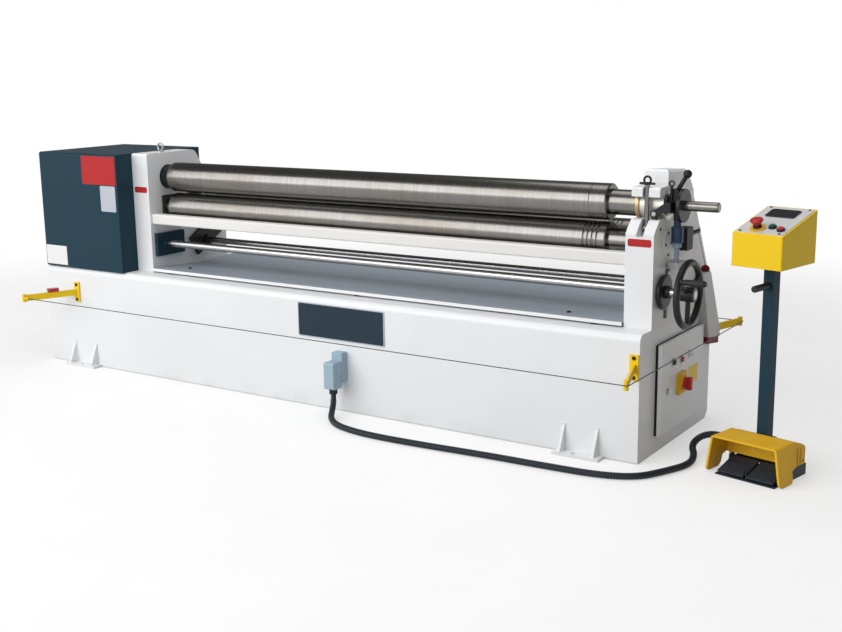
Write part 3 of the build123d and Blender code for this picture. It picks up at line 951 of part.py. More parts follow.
def pedal(u0, u1):
    """A ribbed pedal plate that slopes down from its pivot to a low front edge."""
    side_prism([(EDGE_V, EDGE_LOW), (EDGE_V, EDGE_TOP), (PEDAL_PIN_V, PEDAL_PIN_Z + 9),
                (PEDAL_PIN_V, PEDAL_PIN_Z - 9)], u0, u1)
    rod_x(u0, u1, PEDAL_PIN_V, PEDAL_PIN_Z, 9)
    slope = (PEDAL_PIN_Z + 9 - EDGE_TOP) / (PEDAL_PIN_V - EDGE_V)
    for v in (10, 22, 34, 46, 58):
        z = EDGE_TOP + (v - EDGE_V) * slope
        block(u0 + 8, u1 - 8, v, v + 4, z - 2, z + 3)
    rod_x(u0, u1, PEDAL_PIN_V, PEDAL_PIN_Z, PEDAL_PIN_R + RUN_FIT, Mode.SUBTRACT)


PEDAL_END = PEDAL_HALF - CHEEK - 2
with BuildPart() as pedal_left:
    pedal(-PEDAL_END, -DIVIDER_HALF - 4)
save(pedal_left, "pedal_left", CONSOLE)

with BuildPart() as pedal_right:
    pedal(DIVIDER_HALF + 4, PEDAL_END)
save(pedal_right, "pedal_right", CONSOLE)

# Console post with its handle, and the box with the sloping panel
POST_HALF_U, POST_HALF_V, POST_WALL = 22.0, 23.0, 4.0
HANDLE_Z = POST_TOP - 79.0
with BuildPart() as console_post:
    block(POST_U - FOOT_HALF + 2, POST_U + FOOT_HALF - 2, POST_V - FOOT_HALF + 2, POST_V + FOOT_HALF - 2,
          POST_SEAT, POST_SEAT + 8)
    block(POST_U - POST_HALF_U, POST_U + POST_HALF_U, POST_V - POST_HALF_V, POST_V + POST_HALF_V,
          POST_SEAT, POST_TOP)
    inside_u, inside_v = POST_HALF_U - POST_WALL, POST_HALF_V - POST_WALL
    block(POST_U - inside_u, POST_U + inside_u, POST_V - inside_v, POST_V + inside_v,
          POST_SEAT + 8, POST_TOP - POST_WALL, Mode.SUBTRACT)
    rod_y(POST_U, POST_V - 130, POST_V - POST_HALF_V + 2, HANDLE_Z, 13)
    fillet(console_post.faces().sort_by(Axis.Y)[0].edges(), 4)
save(console_post, "console_post", CONSOLE)

WALL = 4.0
with BuildPart() as console_box:
    side_prism([(BOX_V0, POST_TOP), (BOX_V0, BOX_FRONT_Z), (BOX_V1, BOX_BACK_Z), (BOX_V1, POST_TOP)],
               BOX_U0, BOX_U1)
    fillet(console_box.edges().filter_by(Axis.Z), 5)
    side_prism([(BOX_V0 + WALL, POST_TOP + WALL), (BOX_V0 + WALL, BOX_FRONT_Z - WALL),
                (BOX_V1 - WALL, BOX_BACK_Z - 3 * WALL), (BOX_V1 - WALL, POST_TOP + WALL)],
               BOX_U0 + WALL, BOX_U1 - WALL, Mode.SUBTRACT)
save(console_box, "console_box", CONSOLE)

# Everything on the panel is placed on its sloping face
PANEL = Plane(origin=((BOX_U0 + BOX_U1) / 2, (BOX_V0 + BOX_V1) / 2, (BOX_FRONT_Z + BOX_BACK_Z) / 2),
              x_dir=(1, 0, 0), z_dir=(0, -sin(radians(PANEL_TILT)), cos(radians(PANEL_TILT))))
PANEL_PLACE = Plane(CONSOLE.location * PANEL.location)
PANEL_HALF_U = BOX_WIDTH / 2 - 7
PANEL_HALF_S = BOX_DEPTH / 2 / cos(radians(PANEL_TILT)) - 10
ESTOP = (-26.0, -84.0)
BUTTON_A, BUTTON_B = (27.0, -67.0), (70.0, -84.0)
ESTOP_R, ESTOP_STEM_R = 24.5, 11.0
PANEL_BUTTON_R = 11.0
DISPLAY_HALF = 61.0
with BuildPart() as console_panel:
    block(-PANEL_HALF_U, PANEL_HALF_U, -PANEL_HALF_S, PANEL_HALF_S, 0, PANEL_SHEET)
    fillet(console_panel.edges().filter_by(Axis.Z), 8)
    block(-DISPLAY_HALF, DISPLAY_HALF, 27, 97, PANEL_SHEET, PANEL_SHEET + 4)
    display_corners = console_panel.edges().filter_by(Axis.Z).filter_by(
        lambda edge: abs(abs(edge.center().X) - DISPLAY_HALF) < 0.1)
    fillet(display_corners, 10)
    with Locations((0, 0, PANEL_SHEET + 1.25)):
        with GridLocations(2 * PANEL_HALF_U - 34, 2 * PANEL_HALF_S - 16, 2, 2):
            Cylinder(4.5, 2.5)
    for u, s in (BUTTON_A, BUTTON_B):
        rod_z(u, s, PANEL_SHEET, PANEL_SHEET + 7, 15.5)
        rod_z(u, s, 0, PANEL_SHEET + 7, PANEL_BUTTON_R + SLIDE_GAP, Mode.SUBTRACT)
    rod_z(*ESTOP, 0, PANEL_SHEET, ESTOP_STEM_R + 1, Mode.SUBTRACT)
save(console_panel, "console_panel", PANEL_PLACE)

ESTOP_BASE_TOP = PANEL_SHEET + 13
with BuildPart() as estop_base:
    rod_z(*ESTOP, PANEL_SHEET, PANEL_SHEET + 4, 31)
    rod_z(*ESTOP, PANEL_SHEET + 4, ESTOP_BASE_TOP, 16)
    rod_z(*ESTOP, PANEL_SHEET, ESTOP_BASE_TOP, ESTOP_STEM_R + RUN_FIT, Mode.SUBTRACT)
save(estop_base, "estop_base", PANEL_PLACE)

ESTOP_TRAVEL = 5.0
HEAD_LOW, HEAD_CONE = ESTOP_BASE_TOP + ESTOP_TRAVEL + 1, 12.0
with BuildPart() as estop_head:
    rod_z(*ESTOP, ESTOP_TRAVEL + 1, HEAD_LOW + 2, ESTOP_STEM_R)
    with Locations((*ESTOP, HEAD_LOW + HEAD_CONE / 2)):
        Cone(ESTOP_R - 8, ESTOP_R, HEAD_CONE)
    rod_z(*ESTOP, HEAD_LOW + HEAD_CONE, HEAD_LOW + HEAD_CONE + 8, ESTOP_R)
    fillet(estop_head.faces().sort_by(Axis.Z)[-1].edges(), 5)
save(estop_head, "estop_head", PANEL_PLACE)

PANEL_BUTTON_TRAVEL = 4.0
with BuildPart() as console_button_a:
    rod_z(*BUTTON_A, PANEL_BUTTON_TRAVEL + 0.5, PANEL_SHEET + 13, PANEL_BUTTON_R)
    chamfer(console_button_a.faces().sort_by(Axis.Z)[-1].edges(), 1.2)
save(console_button_a, "console_button_a", PANEL_PLACE)

with BuildPart() as console_button_b:
    rod_z(*BUTTON_B, PANEL_BUTTON_TRAVEL + 0.5, PANEL_SHEET + 13, PANEL_BUTTON_R)
    chamfer(console_button_b.faces().sort_by(Axis.Z)[-1].edges(), 1.2)
save(console_button_b, "console_button_b", PANEL_PLACE)
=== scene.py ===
# %% [markdown]
# A plate rolling machine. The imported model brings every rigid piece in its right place, in metres,
# with +X along the rolls to the drop end, +Y to the rear and +Z up. This lesson adds what a solid
# model lacks: paint, ground steel, moulded plastic, the ribbed conduit, bare plates and screw heads.

import math
import random

import bpy
from mathutils import Matrix, Vector


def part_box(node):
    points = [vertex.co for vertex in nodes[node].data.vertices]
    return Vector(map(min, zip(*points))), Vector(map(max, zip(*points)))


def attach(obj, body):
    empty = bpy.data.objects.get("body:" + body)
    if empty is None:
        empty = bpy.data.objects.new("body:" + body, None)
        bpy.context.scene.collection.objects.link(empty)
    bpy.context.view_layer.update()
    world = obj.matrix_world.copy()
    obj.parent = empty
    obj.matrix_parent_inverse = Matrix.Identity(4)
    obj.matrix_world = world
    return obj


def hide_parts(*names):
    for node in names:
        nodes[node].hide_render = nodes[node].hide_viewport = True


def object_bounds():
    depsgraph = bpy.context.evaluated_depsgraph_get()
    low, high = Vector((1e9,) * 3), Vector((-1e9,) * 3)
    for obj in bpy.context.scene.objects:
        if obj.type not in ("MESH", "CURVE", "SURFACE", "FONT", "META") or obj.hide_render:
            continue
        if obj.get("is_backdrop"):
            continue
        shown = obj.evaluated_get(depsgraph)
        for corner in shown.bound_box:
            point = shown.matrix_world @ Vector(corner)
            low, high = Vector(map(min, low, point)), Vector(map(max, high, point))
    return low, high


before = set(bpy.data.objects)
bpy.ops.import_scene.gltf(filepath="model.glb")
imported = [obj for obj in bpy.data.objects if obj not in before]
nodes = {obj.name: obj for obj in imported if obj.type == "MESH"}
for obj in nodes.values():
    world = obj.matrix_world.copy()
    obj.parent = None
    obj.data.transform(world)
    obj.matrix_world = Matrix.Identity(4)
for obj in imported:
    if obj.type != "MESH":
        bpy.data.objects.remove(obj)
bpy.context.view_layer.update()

# %% [markdown]
# The camera stands in front of the drop end and looks back along the rolls. Its three angles and its
# lens were worked out from the straight edges of the bed, the rolls and the uprights, so the frame
# needs no shift.

# %% Camera at the photograph's angle
CAMERA_PLACE = Vector((3.529, -4.652, 1.600))
CAMERA_YAW = math.radians(33.52)
CAMERA_PITCH = math.radians(-12.16)
CAMERA_ROLL = math.radians(-0.85)
SENSOR_MM = 36.0
FOCAL_PX = 1203.9
PICTURE_PX = 842
LENS_MM = SENSOR_MM * FOCAL_PX / PICTURE_PX

forward = Vector((
    -math.sin(CAMERA_YAW) * math.cos(CAMERA_PITCH),
    math.cos(CAMERA_YAW) * math.cos(CAMERA_PITCH),
    math.sin(CAMERA_PITCH),
))
level_right = Vector((math.cos(CAMERA_YAW), math.sin(CAMERA_YAW), 0.0))
level_up = level_right.cross(forward)
right = math.cos(CAMERA_ROLL) * level_right + math.sin(CAMERA_ROLL) * level_up
up = math.cos(CAMERA_ROLL) * level_up - math.sin(CAMERA_ROLL) * level_right

camera_data = bpy.data.cameras.new("camera")
camera_data.sensor_fit = "HORIZONTAL"
camera_data.sensor_width = SENSOR_MM
camera_data.lens = LENS_MM
camera = bpy.data.objects.new("camera", camera_data)
camera.matrix_world = Matrix.Translation(CAMERA_PLACE) @ Matrix((right, up, -forward)).transposed().to_4x4()
bpy.context.scene.collection.objects.link(camera)
bpy.context.scene.camera = camera
print("lens:", round(LENS_MM, 2), "mm")

# %% [markdown]
# Most added pieces are skins: a list of rings with the same number of points, joined one to the next
# and closed at both ends. A bolt head, a bare plate and a ribbed hose are all rings in a row, so one
# helper makes them all. A sharp-edge angle keeps flat faces flat and lets round ones shade smoothly.

# %% A skin over rings of points
def link_mesh(name, points, faces, smooth_angle=35.0):
    """A mesh object from points and faces, smooth where its faces meet at less than the angle."""
    mesh = bpy.data.meshes.new(name)
    mesh.from_pydata([tuple(p) for p in points], [], faces)
    mesh.validate()
    for polygon in mesh.polygons:
        polygon.use_smooth = True
    mesh.set_sharp_from_angle(angle=math.radians(smooth_angle))
    piece = bpy.data.objects.new(name, mesh)
    bpy.context.scene.collection.objects.link(piece)
    return piece


def skin_faces(rings, first=0):
    """Faces that join each ring to the next and close the two ends."""
    count = len(rings[0])
    faces = []
    for level in range(len(rings) - 1):
        low = first + level * count
        high = low + count
        for k in range(count):
            following = (k + 1) % count
            faces.append((low + k, low + following, high + following, high + k))
    faces.append(tuple(first + k for k in reversed(range(count))))
    last = first + (len(rings) - 1) * count
    faces.append(tuple(last + k for k in range(count)))
    return faces


def skins(name, stacks, smooth_angle=35.0):
    """One mesh from several closed skins, each a list of rings."""
    points, faces = [], []
    for rings in stacks:
        faces += skin_faces(rings, len(points))
        points += [point for ring in rings for point in ring]
    return link_mesh(name, points, faces, smooth_angle)


def circle(centre, across, along, radius, count):
    """Points of a circle in the plane of two unit directions."""
    turns = [2 * math.pi * k / count for k in range(count)]
    return [centre + radius * (math.cos(t) * across + math.sin(t) * along) for t in turns]


# %% [markdown]
# The control cable runs in a corrugated conduit from the plug on the bed to the foot switch. It lies
# on the floor in one long curve and rises at both ends. The route's points are control points of a
# NURBS spline, which gives a line as smooth as a real hose. The printed length is measured along it.
# The ribs are geometry: rings of different radii follow points read from that spline.

# %% Conduit
CONDUIT_R = 0.014
CONDUIT_ROOT_R = 0.0122
CONDUIT_CROWN_R = CONDUIT_R + 0.0001
CONDUIT_RIBS = 200
CONDUIT_SIDES = 20
CONDUIT_ROUTE = [
    (0.268, -0.461, 0.104),
    (0.268, -0.461, 0.062),
    (0.281, -0.494, 0.027),
    (0.322, -0.556, 0.015),
    (0.415, -0.624, 0.015),
    (0.590, -0.658, 0.015),
    (0.860, -0.652, 0.015),
    (1.150, -0.630, 0.015),
    (1.440, -0.622, 0.015),
    (1.660, -0.610, 0.015),
    (1.798, -0.556, 0.015),
    (1.862, -0.440, 0.015),
    (1.914, -0.318, 0.015),
    (1.896, -0.214, 0.019),
    (1.858, -0.150, 0.038),
    (1.872, -0.110, 0.062),
    (1.910, -0.096, 0.080),
    (1.962, -0.104, 0.085),
    (2.000402, -0.115217, 0.085),
    (2.044414, -0.124572, 0.085),
]


def spline_points(name, route):
    """Points along the NURBS spline that has the route as its control points."""
    data = bpy.data.curves.new(name, "CURVE")
    data.dimensions = "3D"
    data.resolution_u = 24
    spline = data.splines.new("NURBS")
    spline.points.add(len(route) - 1)
    for point, place in zip(spline.points, route):
        point.co = (*place, 1.0)
    spline.order_u = 3
    spline.use_endpoint_u = True
    line = bpy.data.objects.new(name, data)
    bpy.context.scene.collection.objects.link(line)
    bpy.context.view_layer.update()
    mesh = bpy.data.meshes.new_from_object(line)
    points = [vertex.co.copy() for vertex in mesh.vertices]
    bpy.data.objects.remove(line)
    return points


def line_length(points):
    return sum((b - a).length for a, b in zip(points, points[1:]))


def point_at(points, distance):
    """The place and direction at a distance along a line of points."""
    for a, b in zip(points, points[1:]):
        step = (b - a).length
        if distance <= step:
            return a + (b - a) * (distance / step), (b - a).normalized()
        distance -= step
    return points[-1], (points[-1] - points[-2]).normalized()


conduit_line = spline_points("conduit_line", CONDUIT_ROUTE)
conduit_length = line_length(conduit_line)
straight_end = 2 * CONDUIT_R
rib_pitch = (conduit_length - 2 * straight_end) / CONDUIT_RIBS
rib_profile = (
    (0.08, CONDUIT_ROOT_R),
    (0.28, CONDUIT_R),
    (0.50, CONDUIT_CROWN_R),
    (0.72, CONDUIT_R),
    (0.92, CONDUIT_ROOT_R),
)
stations = [(0.0, CONDUIT_ROOT_R)]
for rib in range(CONDUIT_RIBS):
    rib_start = straight_end + rib * rib_pitch
    stations += [(rib_start + share * rib_pitch, radius) for share, radius in rib_profile]
stations.append((conduit_length, CONDUIT_ROOT_R))

across = Vector((1.0, 0.0, 0.0))
conduit_rings = []
for distance, radius in stations:
    place, direction = point_at(conduit_line, distance)
    across = (across - across.dot(direction) * direction).normalized()
    conduit_rings.append(circle(place, across, direction.cross(across), radius, CONDUIT_SIDES))
conduit = skins("conduit", [conduit_rings], 60.0)
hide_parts("control_conduit")
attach(conduit, "machine")
print("conduit:", round(conduit_length, 3), "m,", CONDUIT_RIBS, "ribs")

# %% [markdown]
# Materials are written as Python expressions. The class below wraps one socket: adding or multiplying
# two of them adds Math nodes, and its one node method adds any other node, its settings first and its
# sockets after. Object coordinates are used throughout, because a node of the model has its mesh in
# machine coordinates, so a scale of 1000 gives detail of about a millimetre on every piece.

# %% The shader language
class Tone:
    """A socket of a node tree that Python's operators work on."""

    def __init__(self, tree, socket=None):
        self.tree = tree
        self.socket = socket

    def node(self, kind, settings=None, sockets=None, output=0):
        """Add a node: its settings, then the values or links of its sockets. Gives one output back."""
        made = self.tree.nodes.new("ShaderNode" + kind)
        for name, value in (settings or {}).items():
            setattr(made, name, value)
        for name, value in (sockets or {}).items():
            if isinstance(value, Tone):
                self.tree.links.new(value.socket, made.inputs[name])
            else:
                made.inputs[name].default_value = value
        return Tone(self.tree, made.outputs[output] if made.outputs else None)

    def math(self, operation, first, second):
        return self.node("Math", {"operation": operation}, {0: first, 1: second})

    def __add__(self, other):
        return self.math("ADD", self, other)

    def __radd__(self, other):
        return self.math("ADD", other, self)

    def __sub__(self, other):
        return self.math("SUBTRACT", self, other)

    def __rsub__(self, other):
        return self.math("SUBTRACT", other, self)

    def __mul__(self, other):
        return self.math("MULTIPLY", self, other)

    def __rmul__(self, other):
        return self.math("MULTIPLY", other, self)

    def rise(self, low, high):
        """0 below low, 1 above high and smooth between them."""
        sockets = {"Value": self, "From Min": low, "From Max": high}
        return self.node("MapRange", {"interpolation_type": "SMOOTHSTEP"}, sockets)

    def paint(self, first, second):
        """The first colour where this mask is 0 and the second where it is 1."""
        return self.node("Mix", {"data_type": "RGBA"}, {0: self, 6: first, 7: second}, output=2)

    def stretched(self, scale):
        return self.node("VectorMath", {"operation": "MULTIPLY"}, {0: self, 1: scale})

    def noise(self, scale, detail=2.0):
        return self.node("TexNoise", None, {"Vector": self, "Scale": scale, "Detail": detail})

    def axis(self, letter):
        return self.node("SeparateXYZ", None, {0: self}, output="XYZ".index(letter))

    def bump(self, height, strength, depth, normal=None):
        sockets = {"Strength": strength, "Distance": depth, "Height": height}
        if normal is not None:
            sockets["Normal"] = normal
        return self.node("Bump", None, sockets)


def shade(colour, factor):
    return (*[min(1.0, factor * c) for c in colour], 1.0)


def make_finish(name, recipe, *values, **more):
    """A material whose recipe gives the sockets of one Principled shader."""
    material = bpy.data.materials.new(name)
    material.use_nodes = True
    material.node_tree.nodes.clear()
    start = Tone(material.node_tree)
    place = start.node("TexCoord", output=3)
    shader = start.node("BsdfPrincipled", None, recipe(place, *values, **more))
    start.node("OutputMaterial", None, {"Surface": shader})
    return material


# %% [markdown]
# Enamel covers the bed, the uprights, the cover and the console. Sprayed enamel has a faint orange
# peel, a tone that drifts a little over a long panel, dust near the floor, and edges where the coat
# is thin. A Bevel node rounds the edges in the shading and, set against the true normal, marks them.

# %% Enamel
def edge_mask(place, rounded):
    facing = place.node("NewGeometry", output=1)
    agreement = place.node("VectorMath", {"operation": "DOT_PRODUCT"}, {0: rounded, 1: facing}, output=1)
    return (1 - agreement).rise(0.015, 0.16)


WORN_WHITE = (0.55, 0.55, 0.54)


def enamel(place, colour, rough=0.34, worn=WORN_WHITE, wear=0.25, peel=0.10, edge=0.0016, gloss=0.35):
    rounded = place.node("Bevel", {"samples": 4}, {"Radius": edge})
    chips = edge_mask(place, rounded) * place.noise(70.0, 4.0).rise(0.5, 0.66) * wear
    dust = (1 - place.axis("Z").rise(0.0, 0.10)) * place.noise(9.0, 4.0).rise(0.35, 0.75) * 0.14
    drift = place.noise(1.6, 3.0).rise(0.3, 0.7)
    sprayed = drift.paint(shade(colour, 0.975), shade(colour, 1.015))
    dusty = dust.paint(sprayed, shade((0.40, 0.37, 0.33), 1.0))
    smudges = place.noise(14.0, 5.0).rise(0.45, 0.75)
    return {
        "Base Color": chips.paint(dusty, (*worn, 1.0)),
        "Roughness": rough + 0.07 * smudges + 0.15 * dust,
        "Specular IOR Level": gloss,
        "Normal": place.bump(place.noise(520.0, 2.0), peel, 0.0004, rounded),
    }


WHITE = (0.790, 0.800, 0.812)
CREAM = (0.760, 0.750, 0.725)
TEAL = (0.015, 0.043, 0.066)
GREY = (0.510, 0.505, 0.500)
TRAY = (0.385, 0.435, 0.500)
YELLOW = (0.880, 0.590, 0.018)
white_paint = make_finish("white_enamel", enamel, WHITE)
cream_paint = make_finish("cream_enamel", enamel, CREAM)
WORN_TEAL = (0.10, 0.14, 0.17)
teal_paint = make_finish("teal_enamel", enamel, TEAL, rough=0.40, worn=WORN_TEAL, wear=0.5, gloss=0.10)
grey_paint = make_finish("grey_enamel", enamel, GREY, worn=(0.30, 0.30, 0.30))
tray_paint = make_finish("tray_enamel", enamel, TRAY, rough=0.42, worn=(0.55, 0.57, 0.60), wear=0.5)
WORN_YELLOW = (0.95, 0.75, 0.25)
yellow_paint = make_finish("yellow_enamel", enamel, YELLOW, worn=WORN_YELLOW, wear=0.5, gloss=0.12)
print("enamels made")

# %% [markdown]
# The rolls are ground and polished, so fine lines run round them and the highlight is one long band.
# The lines come from noise that is squeezed along the roll's axis. A thin film of oil warms the steel
# in places. Shafts, pins, the trip wire and the bush use the same recipe with other values.

# %% Bright metals
ROUND_THE_ROLL = (1400.0, 7.0, 7.0)
OIL_FILM = (0.17, 0.145, 0.115)


def ground_steel(place, colour, rough, film=OIL_FILM, film_share=0.5, lines=ROUND_THE_ROLL):
    turning = place.stretched(lines).noise(1.0, 3.0)
    coarse = place.stretched((lines[0] / 12, lines[1] / 3, lines[2] / 3)).noise(1.0, 2.0)
    oil = place.stretched((2.2, 13.0, 13.0)).noise(1.0, 4.0).rise(0.42, 0.72) * film_share
    metal = coarse.rise(0.25, 0.75).paint(shade(colour, 0.90), shade(colour, 1.06))
    tint = oil.paint(metal, (*film, 1.0))
    return {
        "Base Color": tint,
        "Metallic": 1.0,
        "Roughness": rough + 0.10 * turning + 0.08 * oil,
        "Normal": place.bump(turning, 0.06, 0.0002),
    }


ALONG_THE_BOLT = (60.0, 60.0, 900.0)
# painted shade: the roll steel is darker than bare steel, standing in for the dim surroundings the rolls
# mirror
roll_steel = make_finish("roll_steel", ground_steel, (0.215, 0.208, 0.200), 0.20)
bright_steel = make_finish("bright_steel", ground_steel, (0.42, 0.42, 0.42), 0.20, film_share=0.2)
bolt_steel = make_finish(
    "bolt_steel", ground_steel, (0.20, 0.20, 0.20), 0.12, film_share=0.1, lines=ALONG_THE_BOLT
)
bush_steel = make_finish("bush_steel", ground_steel, (0.62, 0.60, 0.55), 0.42, film_share=0.2)
wire_steel = make_finish("wire_steel", ground_steel, (0.085, 0.085, 0.09), 0.36, film_share=0.2)
bronze = make_finish("bush_bronze", ground_steel, (0.46, 0.33, 0.18), 0.30, film=(0.22, 0.15, 0.08))
print("bright metals made")

# %% [markdown]
# The handwheel and the yoke are cast or forged and black, and the gears and bearing blocks are bare
# iron. Castings have a pebbled skin, so their bump is larger and softer than the paint's, and corners
# that hands touch are a little brighter.

# %% Iron
RUBBED = (0.16, 0.17, 0.18)


def cast_iron(place, colour, rough, pebble=0.35, polish=RUBBED, edge=0.0012, metallic=0.0):
    rounded = place.node("Bevel", {"samples": 4}, {"Radius": edge})
    rubbed = edge_mask(place, rounded) * place.noise(45.0, 3.0).rise(0.40, 0.65) * 0.6
    mottle = place.noise(120.0, 4.0).rise(0.3, 0.7)
    skin = mottle.paint(shade(colour, 0.8), shade(colour, 1.25))
    return {
        "Base Color": rubbed.paint(skin, (*polish, 1.0)),
        "Metallic": metallic,
        "Roughness": rough + 0.12 * mottle - 0.08 * rubbed,
        "Specular IOR Level": 0.25,
        "Normal": place.bump(place.noise(260.0, 4.0), pebble, 0.0005, rounded),
    }


RUBBED_BLACK = (0.08, 0.085, 0.09)
IRON = (0.012, 0.013, 0.015)
black_iron = make_finish("black_iron", cast_iron, IRON, 0.28, pebble=0.22, polish=RUBBED_BLACK)
black_screw = make_finish("black_screw", cast_iron, IRON, 0.34, pebble=0.1, polish=RUBBED_BLACK)
gear_iron = make_finish("gear_iron", cast_iron, (0.115, 0.115, 0.118), 0.45, metallic=0.6)
BLUE = (0.020, 0.042, 0.090)
PALE_BLUE = (0.260, 0.330, 0.430)
blue_metal = make_finish("blue_anodised", cast_iron, BLUE, 0.30, pebble=0.1, polish=(0.10, 0.16, 0.28))
pale_blue = make_finish("pale_blue_metal", cast_iron, PALE_BLUE, 0.36, pebble=0.1, polish=(0.5, 0.55, 0.6))
print("iron made")

# %% [markdown]
# Buttons, pedals, the guard and the plug are moulded. A moulded skin has a fine even grain, rounded
# edges and slight scuffs. Those rounded edges also get a painted highlight: their colour is made
# lighter. The same recipe gives rubber with a rougher surface.

# %% Moulded plastics
PALE_SCUFF = (0.5, 0.5, 0.5)


def moulded(
    place, colour, rough=0.42, grain=0.18, scuff=PALE_SCUFF, scuffed=0.12, edge=0.0012, coat=0.0, gloss=0.3
):
    rounded = place.node("Bevel", {"samples": 4}, {"Radius": edge})
    rim = edge_mask(place, rounded)
    scratch = place.stretched((30.0, 240.0, 240.0)).noise(1.0, 4.0).rise(0.62, 0.80) * scuffed
    drift = place.noise(6.0, 2.0).rise(0.3, 0.7)
    body = drift.paint(shade(colour, 0.94), shade(colour, 1.05))
    # painted highlight: the rounded edges are painted lighter, towards one and a half times the colour
    painted_rim_highlight = (0.45 * rim).paint(body, shade(colour, 1.5))
    return {
        "Base Color": scratch.paint(painted_rim_highlight, (*scuff, 1.0)),
        "Roughness": rough + 0.08 * place.noise(30.0, 3.0) + scratch,
        "Coat Weight": coat,
        "Specular IOR Level": gloss,
        "Normal": place.bump(place.noise(1500.0, 2.0), grain, 0.0003, rounded),
    }


BLACK = (0.013, 0.014, 0.016)
GUARD_YELLOW = (0.790, 0.450, 0.012)
yellow_plastic = make_finish("yellow_plastic", moulded, GUARD_YELLOW, scuff=(0.75, 0.55, 0.15), edge=0.003)
red_plastic = make_finish("red_plastic", moulded, (0.440, 0.020, 0.022), 0.26, coat=0.2)
deep_red = make_finish("deep_red_plastic", moulded, (0.170, 0.009, 0.016), 0.42, scuffed=0.0, gloss=0.12)
green_plastic = make_finish("green_plastic", moulded, (0.012, 0.085, 0.040), 0.26, coat=0.2)
black_plastic = make_finish("black_plastic", moulded, BLACK, 0.45, scuff=(0.09, 0.09, 0.10))
base_plastic = make_finish("pedal_plastic", moulded, (0.022, 0.029, 0.040), 0.48, scuff=(0.10, 0.11, 0.12))
plug_plastic = make_finish("plug_plastic", moulded, (0.345, 0.470, 0.565), 0.40, scuff=(0.6, 0.66, 0.7))
white_plastic = make_finish("lamp_plastic", moulded, (0.72, 0.74, 0.74), 0.20, coat=0.4)
CONDUIT_BLACK = (0.012, 0.019, 0.026)
conduit_plastic = make_finish("conduit_plastic", moulded, CONDUIT_BLACK, 0.36, scuff=(0.06, 0.07, 0.08))
gasket_rubber = make_finish("gasket_rubber", moulded, (0.012, 0.012, 0.012), 0.75, grain=0.4)
GLASS = (0.008, 0.009, 0.011)
display_glass = make_finish("display_glass", moulded, GLASS, 0.10, grain=0.0, scuffed=0.0, coat=0.6)
print("plastics made")

# %% [markdown]
# Plates on the machine are anodised sheet: brushed in one direction, with a dull sheen. They stay
# blank.

# %% Anodised sheet
def brushed_sheet(place, colour, rough, brush=(12.0, 900.0, 900.0), metallic=0.5, gloss=0.4):
    strokes = place.stretched(brush).noise(1.0, 3.0)
    cloud = place.noise(18.0, 3.0).rise(0.3, 0.7)
    tone = strokes.rise(0.2, 0.8).paint(shade(colour, 0.93), shade(colour, 1.05))
    return {
        "Base Color": (0.2 * cloud).paint(tone, shade(colour, 0.85)),
        "Metallic": metallic,
        "Roughness": rough + 0.12 * strokes,
        "Specular IOR Level": gloss,
        "Normal": place.bump(strokes, 0.05, 0.0002),
    }


panel_sheet = make_finish("console_sheet", brushed_sheet, (0.62, 0.62, 0.63), 0.34, metallic=0.15)
NAVY = (0.024, 0.043, 0.060)
name_sheet = make_finish("name_panel_sheet", brushed_sheet, NAVY, 0.38, metallic=0.0, gloss=0.10)
silver_sheet = make_finish("silver_sheet", brushed_sheet, (0.46, 0.49, 0.55), 0.32, metallic=0.3)
red_sheet = make_finish("red_sheet", brushed_sheet, (0.450, 0.026, 0.028), 0.38, metallic=0.0, gloss=0.15)
white_sheet = make_finish("white_sheet", brushed_sheet, (0.800, 0.795, 0.800), 0.45, metallic=0.0)
yellow_sheet = make_finish("yellow_sheet", brushed_sheet, (0.860, 0.620, 0.020), 0.40, metallic=0.0)
print("sheets made")

# %% [markdown]
# Now each node of the model gets its finish. A node that is one finish all over takes one material.
# Where the real piece joins several, such as a switch with its metal rings, faces are picked by where
# they lie, so the solid itself stays untouched.

# %% Finishes of the model's nodes
PLAIN_FINISHES = {
    white_paint: ("base_bed", "left_frame", "right_frame", "bearing_cap", "cabinet_door", "frame_plates"),
    cream_paint: ("front_tie_beam",),
    teal_paint: ("drive_cover", "shaft_brackets", "console_post"),
    grey_paint: ("rear_post",),
    tray_paint: ("chip_tray",),
    yellow_paint: ("trip_arms", "console_box"),
    yellow_plastic: ("pedal_guard", "estop_base", "door_fittings"),
    red_plastic: ("main_switch_handle", "door_button_red", "estop_head", "console_button_b"),
    deep_red: ("red_fittings",),
    green_plastic: ("console_button_a",),
    black_plastic: ("handwheel_grip", "door_button_black", "safety_switches"),
    base_plastic: ("pedal_base", "pedal_left", "pedal_right"),
    plug_plastic: ("connector_base", "connector_hood", "cabinet_panel"),
    gasket_rubber: ("door_gasket",),
    roll_steel: ("top_roll", "lower_roll", "rear_roll"),
    bright_steel: ("front_shaft", "rear_shaft", "pivot_pins", "door_lock"),
    bolt_steel: ("swing_bolt",),
    wire_steel: ("trip_wire",),
    bush_steel: ("right_bush",),
    black_iron: ("dial_disc", "handwheel", "clamp_nut", "tail_yoke", "release_lever", "left_bearing"),
    black_screw: ("fixed_screws",),
    gear_iron: (
        "lower_blocks", "rear_blocks", "top_roll_gear", "lower_roll_gear", "drive_gearmotor", "lift_gearmotor"
    ),
    blue_metal: ("lift_cylinder",),
    panel_sheet: ("console_panel",),
    name_sheet: ("name_panel",),
}
for finish, names in PLAIN_FINISHES.items():
    for name in names:
        mesh = nodes[name].data
        mesh.materials.clear()
        mesh.materials.append(finish)


def refinish(name, finish, where):
    """Give the finish to those faces of a node whose centre passes the test."""
    mesh = nodes[name].data
    mesh.materials.append(finish)
    slot = len(mesh.materials) - 1
    picked = [polygon for polygon in mesh.polygons if where(polygon.center)]
    for polygon in picked:
        polygon.material_index = slot
    print(name, finish.name, len(picked), "faces")


# %% [markdown]
# The console stands turned by twelve degrees, with its panel tilted. Two small functions give places
# in its own directions: one for the post and pedals, one for the sloping panel. After them come the
# tests. Most are one plane in machine coordinates, which lies between two finishes of a piece.

